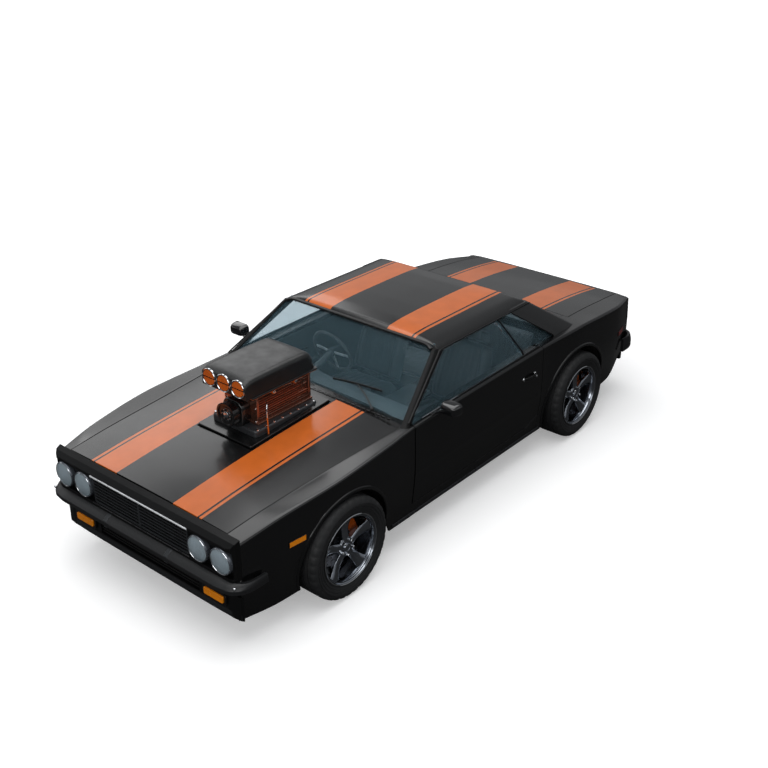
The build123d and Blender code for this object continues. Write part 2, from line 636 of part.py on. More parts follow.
def make_knuckle():
    y = FRONT_AXLE_Y
    low, high = ARM_Z[0][1] + SEAT_FIT, ARM_Z[1][0] - SEAT_FIT
    upright = box(KINGPIN_X - 15, KINGPIN_X + 15, y - 28, y + 28, low, high)
    spindle = rod_x(KINGPIN_X, HUB_BACK_X - SEAT_FIT, y, HUB_Z, SPINDLE_R)
    return upright + spindle


def make_wheel():
    """Left-hand rim with its hub, five spokes and brake disc; hub on the front axle line."""
    y, face, back = FRONT_AXLE_Y, TYRE_FACE_X, TYRE_FACE_X - TYRE_W
    a, b = back + 8, face - 8
    well, flange = RIM_R - 14, RIM_R - 16
    rim = turned([(a, RIM_R), (a + 8, RIM_R), (a + 14, well), (b - 14, well), (b - 8, RIM_R),
                  (b, RIM_R), (b, flange), (b - 24, BARREL_R), (a + 24, BARREL_R),
                  (a, flange)], y, HUB_Z)
    hub = rod_x(HUB_BACK_X, face - 22, y, HUB_Z, HUB_R)
    disc = rod_x(*DISC_X, y, HUB_Z, DISC_R)
    wheel = rim + hub + disc
    spoke = prism_xz([(face - 62, HUB_Z + 50), (face - 24, HUB_Z + 50), (face - 16, HUB_Z + BARREL_R + 4),
                      (face - 44, HUB_Z + BARREL_R + 4)], y - 27, y + 27)
    axis = Axis((0, y, HUB_Z), (1, 0, 0))
    for i in range(SPOKES):
        wheel = wheel + spoke.rotate(axis, 360.0 * i / SPOKES)
    return wheel


def make_tyre():
    y, face, back = FRONT_AXLE_Y, TYRE_FACE_X, TYRE_FACE_X - TYRE_W
    bead, waist = RIM_R - 14 + SEAT_FIT, (RIM_R + TYRE_R) / 2 - 6
    half = [(back + 27, bead), (back + 13.5, RIM_R + 4), (back, waist), (back + 8, TYRE_R - 24),
            (back + 26, TYRE_R - 5), (back + 62, TYRE_R)]
    far = [(face - (x - back), r) for x, r in reversed(half)]
    inner = [(face - 42, bead), (face - 24, waist), (face - 44, TYRE_R - 26),
             (back + 44, TYRE_R - 26), (back + 24, waist), (back + 42, bead)]
    return turned(half + far + inner, y, HUB_Z)


def shift(shape, dy):
    return shape.moved(Location((0, dy, 0)))


def make_rear_axle():
    axle = rod_x(-KINGPIN_X, KINGPIN_X, REAR_AXLE_Y, HUB_Z, AXLE_TUBE_R)
    axle = axle + rod_x(-HUB_BACK_X + SEAT_FIT, HUB_BACK_X - SEAT_FIT, REAR_AXLE_Y, HUB_Z,
                        SPINDLE_R)
    drum = Solid.make_sphere(130).translate(Vector(0, REAR_AXLE_Y, HUB_Z))
    shaft = rod((0, GEARBOX_REAR_Y + 2.6, 318), (0, REAR_AXLE_Y - 60, 346), 36)
    return axle + drum + shaft


def make_springs():
    a = REAR_AXLE_Y
    line = [(a - 640, 232), (a - 430, 244), (a - 150, 300), (a - 40, 312), (a + 40, 312),
            (a + 370, 306), (a + 670, 318)]
    under = [(y, z - 16) for y, z in reversed(line)]
    spring = prism_yz(line + under, SPRING_X - 30, SPRING_X + 30)
    spring = spring + box(SPRING_X - 30, SPRING_X + 30, a - 640, a - 610, 225, FLOOR_Z)
    spring = spring + box(SPRING_X - 20, SPRING_X + 20, a + 650, a + 670, 310,
                          BOOT_FLOOR_Z)
    return group(spring, flip(spring))


def pipe(points, r):
    run = None
    for a, b in zip(points, points[1:]):
        piece = rod(a, b, r) + Solid.make_sphere(r).translate(Vector(*b))
        run = piece if run is None else run + piece
    return run


def make_exhaust():
    run = pipe([(232, -1150, 430), (310, -1050, 420), (310, -800, 214), (250, -600, 214),
                (250, 900, 214), (452, 1150, 238), (452, 2310, 256)], 26)
    run = run + box(170, 330, 250, 760, 150, 246)
    run = run + box(240, 260, 480, 500, 240, FLOOR_Z)
    run = run + box(442, 462, 2060, 2080, 260, BOOT_FLOOR_Z)
    run = run - box(-230, 230, -1500, -1000, 0, 900)
    return group(run, flip(run))


def make_engine():
    engine = box(-230, 230, -1480, -880, 300, 880) + box(-120, 120, -1340, -960, 236, 301)
    engine = engine + box(-95, 95, -881, GEARBOX_REAR_Y, 262, 390)
    mounts = box(-RAIL_X[0], RAIL_X[0], -1290, -1230, 300, 350)
    return engine + mounts


def make_fuel_tank():
    return box(-400, 400, 1570, 2040, 262, BOOT_FLOOR_Z)


# ---- blower -----------------------------------------------------------------------------
MANIFOLD = (212.0, -1497.0, -915.0)
CASE = (150.0, -1422.0, -921.0)
SCOOP_HALF_X = 205.0
SCOOP_SIDE = [(-1555, 1204), (-1555, 1326), (-1500, 1340), (-1150, 1345), (-1010, 1330),
              (-975, 1290), (-975, 1204)]
BORE_X = (-134.0, 0.0, 134.0)
BORE_R = 60.0
BORE_Z = 1270.0


def plate_prism(half_x, y0, y1, top, bottom):
    y = (y0, y1)
    level = [893 + (yy + 1585) * 0.0606 for yy in y]
    side = [(y0, level[0] + bottom), (y0, level[0] + top), (y1, level[1] + top),
            (y1, level[1] + bottom)]
    return prism_yz(side, -half_x, half_x)


def make_blower():
    out = {}
    plate = plate_prism(PLATE_HALF_X, *PLATE_Y, 14, -14)
    manifold = box(-MANIFOLD[0], MANIFOLD[0], MANIFOLD[1], MANIFOLD[2], 880, 962)
    out["blower_plate"] = plate - manifold
    case = manifold + box(-CASE[0], CASE[0], CASE[1], CASE[2], 961, 1190)
    case = case + rod((0, CASE[1] + 2, 1040), (0, -1500, 1040), 58)
    out["blower_case"] = case
    out["blower_pulley"] = rod((0, -1500, 1040), (0, -1560, 1040), 85)
    scoop = prism_yz(SCOOP_SIDE, -SCOOP_HALF_X, SCOOP_HALF_X)
    scoop = scoop + box(-212, 212, -1505, -905, 1190, 1206)
    for x in BORE_X:
        scoop = scoop - rod((x, -1600, BORE_Z), (x, -1480, BORE_Z), BORE_R)
    out["blower_scoop"] = scoop
    flaps = []
    for x in BORE_X:
        flaps.append(rod((x, -1536, BORE_Z), (x, -1532, BORE_Z), BORE_R - SEAT_FIT))
    out["scoop_butterflies"] = group(*flaps)
    return out


# ---- cabin ------------------------------------------------------------------------------
STEERING = ((-340.0, -470.0, 790.0), (-340.0, -165.0, 895.0))
SEAT_X = 400.0
SEAT_HALF = 245.0
SEAT_SIDE = [(-80, 268.5), (-80, 470), (-30, 505), (360, 480), (430, 520), (545, 940), (590, 1030),
             (660, 1030), (655, 930), (560, 470), (500, 268.5)]
REAR_SEAT_SIDE = [(640, 268.5), (640, 470), (690, 495), (1030, 465), (1130, 860), (1190, 880),
                  (1235, 870), (1235, 539), (1131, 539), (1131, 358.5), (950, 358.5),
                  (890, 268.5)]


def make_dashboard():
    side = [(FIREWALL_Y, 640), (FIREWALL_Y, 850), (-700, 850), (-700, 895), (-560, 900),
            (-450, 862), (-425, 760), (-480, 640)]
    return prism_yz(side, -785, 785)


def make_steering_wheel():
    a, b = Vector(*STEERING[0]), Vector(*STEERING[1])
    along = (b - a).normalized()
    plane = Plane(origin=b, x_dir=(1, 0, 0), z_dir=along)
    wheel = Solid.make_torus(188, 14, plane) + rod(STEERING[0], STEERING[1], 24)
    wheel = wheel + rod(tuple(b - along * 30), tuple(b + along * 6), 46)
    for angle in (20, 160, 270):
        t = math.radians(angle)
        end = b + plane.x_dir * (186 * math.cos(t)) + plane.y_dir * (186 * math.sin(t))
        wheel = wheel + rod(tuple(b - along * 8), tuple(end), 9)
    return wheel


def make_seats():
    left = prism_yz(SEAT_SIDE, SEAT_X - SEAT_HALF, SEAT_X + SEAT_HALF)
    return group(left, flip(left))


def make_rear_seat():
    seat = prism_yz(REAR_SEAT_SIDE, -595, 595)
    return seat - box(-152, 152, 600, 1200, 200, 432)


def make_mirror(door):
    head = box(965, 1090, -535, -455, 950, 1040)
    arm = rod((888, -495, 915), (985, -495, 985), 11)
    return minus(head + arm, [door])


def build():
    """Every node of the car by name."""
    outer, skin, frame = main_shells()
    lining = body_loft(side=SKIN + SEAT_FIT, top=SKIN + SEAT_FIT, down=60)
    parts = {}
    pairs = {}
    parts["bonnet"] = make_bonnet(skin)
    parts["boot_lid"] = only(skin, prism_xy(boot_outline(), 700, 1100))
    pairs["front_wing"] = make_wing(skin)
    quarter = make_quarter(outer, skin, frame)
    pairs["rear_quarter"] = quarter
    door = make_door(outer)
    pairs["door"] = door
    parts["firewall"] = make_firewall(lining, frame)
    parts["windscreen_frame"] = minus(make_cowl(skin, frame), [parts["firewall"]])
    parts["rear_deck_panel"] = make_rear_deck(skin, frame)
    parts["roof"] = make_roof(frame)
    panes = make_glass(door)
    pairs["door_glass"] = panes["door_glass"]
    side_pane = minus(panes["quarter_glass"], [quarter])
    parts["fixed_windows"] = group(panes["windscreen"], panes["rear_window"], side_pane,
                                   flip(side_pane))
    parts["front_panel"] = make_front_panel()
    parts["front_valance"] = make_front_valance()
    parts["radiator_support"] = make_support(lining)
    parts["grille"] = make_grille()
    parts["headlamps"] = make_headlamps()
    parts["front_bumper"] = bumper(FRONT_BUMPER, FRONT_INNER, FRONT_TOP, FRONT_TOP_INNER,
                                   FRONT_BUMPER_Z)
    parts["rear_bumper"] = bumper(REAR_BUMPER, REAR_INNER, REAR_TOP, REAR_TOP_INNER,
                                  REAR_BUMPER_Z)
    parts["tail_panel"] = make_tail_panel()
    parts["tail_lamps"] = make_tail_lamps()
    parts["rear_valance"] = make_rear_valance()
    parts["floor"] = make_floor()
    parts["sills"] = make_sills(outer)
    front_liner = make_wheelhouse(FRONT_AXLE_Y, HUB_Z, FRONT_LINER_R, 470, lining, False)
    rear_liner = make_wheelhouse(REAR_ARCH.y, REAR_ARCH.z, REAR_ARCH.r + LINER_GAP, WHEELHOUSE_X,
                                 lining, True)
    rear_liner = minus(rear_liner, [quarter])
    parts["wheel_liners"] = group(front_liner, flip(front_liner), rear_liner, flip(rear_liner))
    parts["front_subframe"] = make_subframe()
    knuckle = make_knuckle()
    pairs["knuckle"] = knuckle
    clamp = caliper(FRONT_AXLE_Y, KINGPIN_X + 15, SPINDLE_R)
    pairs["front_caliper"] = clamp
    rear_clamp = shift(caliper(FRONT_AXLE_Y, KINGPIN_X - 40, AXLE_TUBE_R),
                       REAR_AXLE_Y - FRONT_AXLE_Y)
    parts["rear_axle"] = make_rear_axle()
    parts["rear_calipers"] = group(rear_clamp, flip(rear_clamp))
    parts["leaf_springs"] = make_springs()
    parts["exhaust"] = make_exhaust()
    parts["engine"] = make_engine()
    parts["fuel_tank"] = make_fuel_tank()
    parts.update(make_blower())
    parts["dashboard"] = minus(make_dashboard(), [frame])
    parts["steering_wheel"] = minus(make_steering_wheel(), [parts["dashboard"]])
    parts["seats"] = group(make_seats(), make_rear_seat())
    pairs["mirror"] = make_mirror(door)
    wheel, tyre = make_wheel(), make_tyre()
    step = REAR_AXLE_Y - FRONT_AXLE_Y
    pairs["front_wheel"], pairs["front_tyre"] = wheel, tyre
    pairs["rear_wheel"], pairs["rear_tyre"] = shift(wheel, step), shift(tyre, step)
    for name, shape in pairs.items():
        parts[name + "_left"] = shape
        parts[name + "_right"] = flip(shape)
    return parts


def main():
    os.makedirs("parts", exist_ok=True)
    for name, shape in build().items():
        export_step(group(shape), "parts/" + name + ".step")


if __name__ == "__main__":
    main()
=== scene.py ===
"""Looks of a blown two-door muscle car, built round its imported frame.

Metres. +X is the car's left, -Y its front and +Z up; the ground is z = 0.
Each sub-assembly is a class: its sizes are fields and its methods work out the surfaces.
"""

import logging
import math
from dataclasses import dataclass, field
from enum import Enum

import bmesh
import bpy
import numpy as np
from mathutils import Matrix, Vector
from numpy.typing import NDArray


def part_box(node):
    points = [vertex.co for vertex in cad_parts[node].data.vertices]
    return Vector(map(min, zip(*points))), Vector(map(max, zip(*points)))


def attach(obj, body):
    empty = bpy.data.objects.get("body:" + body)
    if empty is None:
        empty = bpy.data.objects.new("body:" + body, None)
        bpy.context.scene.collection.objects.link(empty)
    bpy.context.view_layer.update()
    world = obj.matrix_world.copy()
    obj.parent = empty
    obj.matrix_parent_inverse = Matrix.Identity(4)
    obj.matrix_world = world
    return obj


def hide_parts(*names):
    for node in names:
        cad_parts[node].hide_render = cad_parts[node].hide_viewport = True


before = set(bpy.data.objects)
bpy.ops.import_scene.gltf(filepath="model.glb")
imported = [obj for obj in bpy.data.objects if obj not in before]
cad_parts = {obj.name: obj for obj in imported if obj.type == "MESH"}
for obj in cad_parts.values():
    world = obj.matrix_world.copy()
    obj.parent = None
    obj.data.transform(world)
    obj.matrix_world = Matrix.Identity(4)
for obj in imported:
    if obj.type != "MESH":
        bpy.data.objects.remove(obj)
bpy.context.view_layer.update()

Array = NDArray[np.float64]
Pair = tuple[float, float]
Point = tuple[float, float, float]
Colour = tuple[float, float, float]
Tree = bpy.types.NodeTree
Socket = bpy.types.NodeSocket
log = logging.getLogger("car")

MIRROR = np.array([-1.0, 1.0, 1.0])
WELD = 1e-6


# ---- surfaces --------------------------------------------------------------------------
@dataclass
class Shell:
    """One surface before it becomes a mesh: points, four-sided faces and longer faces."""

    points: Array
    quads: Array
    caps: list[Array] = field(default_factory=list)

    def __add__(self, other: "Shell") -> "Shell":
        """The two surfaces as one."""
        step = len(self.points)
        caps = self.caps + [cap + step for cap in other.caps]
        return Shell(np.vstack([self.points, other.points]),
                     np.vstack([self.quads, other.quads + step]), caps)

    def moved(self, offset: Point) -> "Shell":
        """The surface shifted by an offset."""
        return Shell(self.points + np.array(offset), self.quads, self.caps)

    def mirrored(self) -> "Shell":
        """The surface on the car's other side, its faces still outward."""
        return Shell(self.points * MIRROR, self.quads[:, ::-1], [cap[::-1] for cap in self.caps])

    def both_sides(self) -> "Shell":
        """The surface with its copy on the car's other side."""
        return self + self.mirrored()

    def turned(self, axis: Point, angle: float,
               about: Point) -> "Shell":
        """The surface turned about a line: each point keeps its part along the axis."""
        k = np.array(axis) / np.linalg.norm(axis)
        p = self.points - np.array(about)
        along = (p @ k)[:, None] * k
        side = np.cross(k, p)
        turned = along + (p - along) * math.cos(angle) + side * math.sin(angle)
        return Shell(turned + np.array(about), self.quads, self.caps)


def joined(shells: list[Shell]) -> Shell:
    """All the surfaces of a list as one."""
    total = shells[0]
    for shell in shells[1:]:
        total = total + shell
    return total


def columns(*parts: Array | float) -> Array:
    """Points from their coordinates, or faces from their corners; one number fills a place."""
    return np.stack(np.broadcast_arrays(*parts), axis=-1)


def quads_of(rows: int, cols: int, ring_rows: bool = False, ring_cols: bool = False) -> Array:
    """Faces of a rows x cols grid: face (i, j) joins points ij, i+1 j, i+1 j+1 and i j+1."""
    i = np.arange(rows if ring_rows else rows - 1)[:, None]
    j = np.arange(cols if ring_cols else cols - 1)[None, :]
    below, right = ((i + 1) % rows) * cols, (j + 1) % cols
    return columns(i * cols + j, below + j, below + right, i * cols + right).reshape(-1, 4)


def sheet(grid: Array, ring_rows: bool = False, ring_cols: bool = False) -> Shell:
    """An open surface through a grid of points."""
    rows, cols = grid.shape[:2]
    return Shell(grid.reshape(-1, 3), quads_of(rows, cols, ring_rows, ring_cols))


def tube(grid: Array) -> Shell:
    """A closed surface through rings of points, one ring to a row, with both ends filled."""
    rows, count = grid.shape[:2]
    shell = sheet(grid, ring_cols=True)
    shell.caps = [np.arange(count), np.arange(count)[::-1] + (rows - 1) * count]
    return shell


def normals(grid: Array) -> Array:
    """Unit normals of a grid: the cross product of its two edge directions at each point."""
    across = np.cross(np.gradient(grid, axis=0), np.gradient(grid, axis=1))
    size = np.linalg.norm(across, axis=-1, keepdims=True)
    return across / np.maximum(size, 1e-12)


def slab(outer: Array, inner: Array, keep: Array | None = None) -> Shell:
    """A closed panel between two matching grids; faces where keep is False are left out.

    Args:
        outer: grid of the outer surface.
        inner: grid of the inner surface, point for point.
        keep: one flag for each face of the grid.

    Returns:
        Both surfaces and a rim along every free edge.
    """
    rows, cols = outer.shape[:2]
    top = quads_of(rows, cols)
    if keep is not None:
        top = top[keep.reshape(-1)]
    count = rows * cols
    edges = np.vstack([top[:, [k, (k + 1) % 4]] for k in range(4)])
    code = edges[:, 0] * count + edges[:, 1]
    back = edges[:, 1] * count + edges[:, 0]
    free = edges[~np.isin(code, back)]
    rim = columns(free[:, 1], free[:, 0], free[:, 0] + count, free[:, 1] + count)
    points = np.vstack([outer.reshape(-1, 3), inner.reshape(-1, 3)])
    quads = np.vstack([top, top[:, ::-1] + count, rim])
    used = np.unique(quads)
    place = np.zeros(len(points), dtype=int)
    place[used] = np.arange(len(used))
    return Shell(points[used], place[quads])


def panel(grid: Array, thick: float, keep: Array | None = None,
          away: Point = (0.0, 0.0, 0.4)) -> Shell:
    """A sheet-metal panel: the grid and the same grid moved inward along its normals.

    Args:
        grid: the outer surface.
        thick: thickness, inward.
        keep: one flag for each face, to leave holes.
        away: a point on the inner side of the panel.

    Returns:
        The closed panel.
    """
    n = normals(grid)
    if np.mean(np.sum(n * (grid - np.array(away)), axis=-1)) < 0:
        n = -n
    return slab(grid, grid - n * thick, keep)


def full_width(half: Array) -> Array:
    """A grid across the car from its left half, whose last column is on the centre line."""
    other = half[:, -2::-1] * MIRROR
    return np.concatenate([half, other], axis=1)


def prism(outline: Array, push: Point) -> Shell:
    """A plate: the outline (points in 3-D) pushed along one vector, closed at both ends."""
    count = len(outline)
    points = np.vstack([outline, outline + np.array(push)])
    ring = quads_of(2, count, ring_cols=True)
    return Shell(points, ring, [np.arange(count)[::-1], np.arange(count) + count])


def block(low: Point, high: Point) -> Shell:
    """A straight-sided block between two corners."""
    (x0, y0, z0), (x1, y1, z1) = low, high
    base = np.array([(x0, y0, z0), (x1, y0, z0), (x1, y1, z0), (x0, y1, z0)])
    return prism(base, (0, 0, z1 - z0))


def circle(radius: float, steps: int) -> Array:
    """Points round a circle: radius times the cosine and sine of even angles."""
    t = np.arange(steps) * 2 * math.pi / steps
    return columns(np.cos(t), np.sin(t)) * radius


def rounded(width: float, height: float, radius: float, steps: int = 5) -> Array:
    """A rectangle about the origin with its corners as quarter circles."""
    t = np.linspace(0, math.pi / 2, steps)
    arc = columns(np.cos(t), np.sin(t)) * radius
    half = np.array([width / 2 - radius, height / 2 - radius])
    corners = []
    for k, (sx, sy) in enumerate(((1, 1), (-1, 1), (-1, -1), (1, -1))):
        c, s = math.cos(k * math.pi / 2), math.sin(k * math.pi / 2)
        turn = arc @ np.array([[c, s], [-s, c]])
        corners.append(turn + half * np.array([sx, sy]))
    return np.vstack(corners)


def upright(outline: Array, x: float, y: float, z: float) -> Array:
    """An outline (across, up) stood on end at one place along the car."""
    return columns(outline[:, 0] + x, y, outline[:, 1] + z)


def level(outline: Array, y: float, z: float) -> Array:
    """An outline (across, along) laid flat at one height."""
    return columns(outline[:, 0], outline[:, 1] + y, z)


def bell(count: int) -> Array:
    """Weights of a running mean: a raised cosine that adds up to 1."""
    weights = np.hanning(count)
    return weights / weights.sum()


def resampled(line: Array, count: int) -> tuple[Array, Array]:
    """Even steps along a line in the plane: how far along each one is, and its place."""
    far = np.concatenate([[0], np.cumsum(np.hypot(*np.diff(line, axis=0).T))])
    s = np.linspace(0, far[-1], count)
    return s, np.stack([np.interp(s, far, column) for column in line.T], axis=-1)


def on_line(a: Pair, b: Pair, height: Array | float) -> Array | float:
    """Where the straight line through two (place, height) points passes a height."""
    return a[0] + (height - a[1]) * (b[0] - a[0]) / (b[1] - a[1])


def cubic(t: Array, a: Array, b: Array, m: Array, n: Array) -> Array:
    """A cubic span from a to b that leaves with slope m and arrives with slope n."""
    run = (2 * t**3 - 3 * t**2 + 1) * a + (t**3 - 2 * t**2 + t) * m
    return run + (3 * t**2 - 2 * t**3) * b + (t**3 - t**2) * n


def swept(path: Array, profile: Array, up: Point = (0, 0, 1),
          ring: bool = False, scale: Array | None = None) -> Shell:
    """A closed profile carried along a path.

    At each point the profile's first axis is the path's direction crossed with up, and its
    second is that axis crossed with the direction.

    Args:
        path: points of the path.
        profile: closed outline, two columns.
        up: the direction that stays up in the profile.
        ring: True if the path closes on itself.
        scale: the profile's size at each point of the path.

    Returns:
        The swept surface, with flat ends unless the path is a ring.
    """
    if ring:
        along = np.roll(path, -1, axis=0) - np.roll(path, 1, axis=0)
    else:
        along = np.gradient(path, axis=0)
    along = along / np.linalg.norm(along, axis=1, keepdims=True)
    side = np.cross(along, np.array(up, dtype=float))
    side = side / np.maximum(np.linalg.norm(side, axis=1, keepdims=True), 1e-9)
    top = np.cross(side, along)
    size = np.ones(len(path)) if scale is None else scale
    p = profile[None, :, :] * size[:, None, None]
    grid = path[:, None, :] + side[:, None, :] * p[..., :1] + top[:, None, :] * p[..., 1:]
    return sheet(grid, ring_rows=True, ring_cols=True) if ring else tube(grid)


def rod(a: Point, b: Point, radius: float,
        steps: int = 16, end_radius: float | None = None) -> Shell:
    """A round bar from a to b, tapering to end_radius where it is given."""
    path = np.array([a, b], dtype=float)
    along = path[1] - path[0]
    up = (0, 0, 1) if abs(along[2]) < 0.9 * np.linalg.norm(along) else (0, 1, 0)
    scale = np.array([1.0, 1.0 if end_radius is None else end_radius / radius])
    return swept(path, circle(radius, steps), up, scale=scale)


def pipe(path: Array, radius: float, steps: int = 12,
         up: Point = (0, 0, 1)) -> Shell:
    """A round bar along a path."""
    return swept(path, circle(radius, steps), up)


def smooth_path(points: list[tuple[float, ...]], steps: int = 8) -> Array:
    """A smooth run through the points: each span is a cubic with the mean slope at its ends."""
    p = np.array(points, dtype=float)
    slope = np.gradient(p, axis=0)
    t = np.linspace(0, 1, steps, endpoint=False)[None, :, None]
    a, b, m, n = p[:-1, None], p[1:, None], slope[:-1, None], slope[1:, None]
    return np.vstack([cubic(t, a, b, m, n).reshape(-1, p.shape[1]), p[-1:]])


class Along(Enum):
    """The line a turned piece is turned about."""

    X = 0
    Y = 1
    Z = 2


def lathe(profile: list[Pair], centre: Point, along: Along,
          steps: int = 48, closed: bool = False) -> Shell:
    """A turned surface: each (distance along the line, radius) goes round in even steps.

    A first or last radius of 0 closes that end at a pole.
    """
    prof = np.array(profile, dtype=float)
    t = np.arange(steps) * 2 * math.pi / steps
    poles = [k for k in (0, len(prof) - 1) if prof[k, 1] == 0 and not closed]
    body = np.delete(prof, poles, axis=0)
    axial, u, v = body[:, :1], body[:, 1:] * np.cos(t), body[:, 1:] * np.sin(t)
    order = {Along.X: (axial, u, v), Along.Y: (v, axial, u), Along.Z: (u, v, axial)}[along]
    grid = columns(*order) + np.array(centre)
    shell = sheet(grid, ring_rows=closed, ring_cols=True)
    for k in poles:
        tip = np.array(centre, dtype=float)
        tip[along.value] += prof[k, 0]
        row = 0 if k == 0 else len(body) - 1
        ring = np.arange(steps) + row * steps
        nxt = np.roll(ring, -1)
        index = len(shell.points)
        shell.points = np.vstack([shell.points, tip])
        fan = columns(ring, nxt, index)
        shell.caps += list(fan if k else fan[:, ::-1])
    return shell


def spun(piece: Shell, count: int, axis: Point,
         about: Point) -> Shell:
    """Copies of a piece set evenly round a line."""
    return joined([piece.turned(axis, 2 * math.pi * k / count, about) for k in range(count)])


# ---- finishes --------------------------------------------------------------------------
GRAIN_DEPTH = 0.0008
GRIME_BROWN = (0.23, 0.19, 0.15)


def linear(colour: Colour) -> tuple[float, float, float, float]:
    """A colour as it looks on a screen, given as the light values that shaders use."""
    c = np.array(colour)
    low, high = c / 12.92, ((c + 0.055) / 1.055) ** 2.4
    r, g, b = np.where(c <= 0.04045, low, high)
    return float(r), float(g), float(b), 1.0


def tinted(colour: Colour, share: float) -> tuple[float, float, float, float]:
    """A colour's light values made brighter or darker by a share."""
    r, g, b, _ = linear(colour)
    return r * share, g * share, b * share, 1.0


def wire(nt: Tree, node: bpy.types.ShaderNode, inputs: dict[str | int, object]) -> None:
    """Gives a node its inputs: a socket, or a node's first output, is linked; the rest are set."""
    for key, value in inputs.items():
        if isinstance(value, bpy.types.Node):
            nt.links.new(value.outputs[0], node.inputs[key])
        elif isinstance(value, Socket):
            nt.links.new(value, node.inputs[key])
        else:
            node.inputs[key].default_value = value


def add_node(nt: Tree, kind: str, inputs: dict[str | int, object] | None = None,
             **settings: str) -> bpy.types.ShaderNode:
    """A new node, set up and wired.

    Args:
        nt: the tree it goes in.
        kind: its type's name after "ShaderNode".
        inputs: what each of its inputs gets.
        settings: the node's own choices, such as its operation.

    Returns:
        The node.
    """
    node = nt.nodes.new("ShaderNode" + kind)
    for key, choice in settings.items():
        setattr(node, key, choice)
    wire(nt, node, inputs or {})
    return node


def sum_of(nt: Tree, operation: str, one: Socket, two: Socket | float) -> Socket:
    """The result of a sum, named as the Math node names it, on two values."""
    return add_node(nt, "Math", {0: one, 1: two}, operation=operation).outputs[0]


@dataclass(frozen=True)
class Finish:
    """A surface finish: colour, gloss, grain, and how unevenly it has aged."""

    name: str
    colour: Colour
    rough: float = 0.5
    metal: float = 0.0
    coat: float = 0.0
    coat_rough: float = 0.08
    grain: float = 600.0
    bump: float = 0.0
    vary: float = 0.1
    rough_vary: float = 0.08
    specular: float = 0.5
    grime: float = 0.0

    @property
    def title(self) -> str:
        """The material's own name, kept apart from the frame's slots of like name."""
        return f"{self.name}_finish"

    def tree(self) -> tuple[bpy.types.Material, bpy.types.ShaderNode, Tree]:
        """A new material with one main shader, its constant values set on the shader."""
        mat = bpy.data.materials.new(self.title)
        mat.use_nodes = True
        nt = mat.node_tree
        shader = nt.nodes["Principled BSDF"]
        wire(nt, shader, {"Metallic": self.metal, "Coat Weight": self.coat,
                          "Coat Roughness": self.coat_rough, "Specular IOR Level": self.specular})
        return mat, shader, nt

    def noise(self, nt: Tree, scale: float, detail: float = 3.0) -> Socket:
        """Noise on the object's own coordinates, so many grains to the metre."""
        where = add_node(nt, "TexCoord").outputs["Object"]
        noise = add_node(nt, "TexNoise", {"Vector": where, "Scale": scale, "Detail": detail})
        return noise.outputs["Fac"]

    def ranged(self, nt: Tree, value: Socket, low: float, high: float, start: float = 0.3,
               end: float = 0.7) -> Socket:
        """A value carried from start..end to low..high."""
        node = add_node(nt, "MapRange", {"Value": value, "From Min": start, "From Max": end,
                                         "To Min": low, "To Max": high})
        return node.outputs["Result"]

    def mixed(self, nt: Tree, share: Socket, one: Socket | tuple, two: Socket | tuple) -> Socket:
        """Two colours mixed by a share."""
        node = add_node(nt, "Mix", {"Factor": share}, data_type="RGBA")
        for key, value in (("A", one), ("B", two)):
            socket = [s for s in node.inputs if s.name == key and s.type == "RGBA"][0]
            if isinstance(value, tuple):
                socket.default_value = value
            else:
                nt.links.new(value, socket)
        return [s for s in node.outputs if s.type == "RGBA"][0]

    def paint_over(self, nt: Tree, base: Socket) -> Socket:
        """The colour with any further layers; a plain finish has none."""
        return base

    def relief(self, nt: Tree) -> Socket:
        """The height that the bump reads: a fine even grain."""
        return self.noise(nt, self.grain)

    def make(self) -> bpy.types.Material:
        """The material: colour and gloss vary in soft patches, and the grain is a bump."""
        if self.title in bpy.data.materials:
            return bpy.data.materials[self.title]
        mat, shader, nt = self.tree()
        patches = self.noise(nt, 5.0, 4.0)
        dark, pale = tinted(self.colour, 1 - self.vary), tinted(self.colour, 1 + self.vary)
        base = self.mixed(nt, self.ranged(nt, patches, 0, 1), dark, pale)
        base = self.paint_over(nt, base)
        if self.grime > 0:
            spots = self.ranged(nt, self.noise(nt, 28.0, 6.0), 0, self.grime, 0.5, 0.75)
            base = self.mixed(nt, spots, base, linear(GRIME_BROWN))
        fine = self.noise(nt, 12.0, 2.0)
        rough = self.ranged(nt, fine, max(self.rough - self.rough_vary, 0.02),
                            self.rough + self.rough_vary)
        wire(nt, shader, {"Base Color": base, "Roughness": rough})
        if self.bump > 0:
            bump = add_node(nt, "Bump", {"Strength": self.bump, "Distance": GRAIN_DEPTH,
                                         "Height": self.relief(nt)})
            wire(nt, shader, {"Normal": bump.outputs["Normal"]})
        return mat


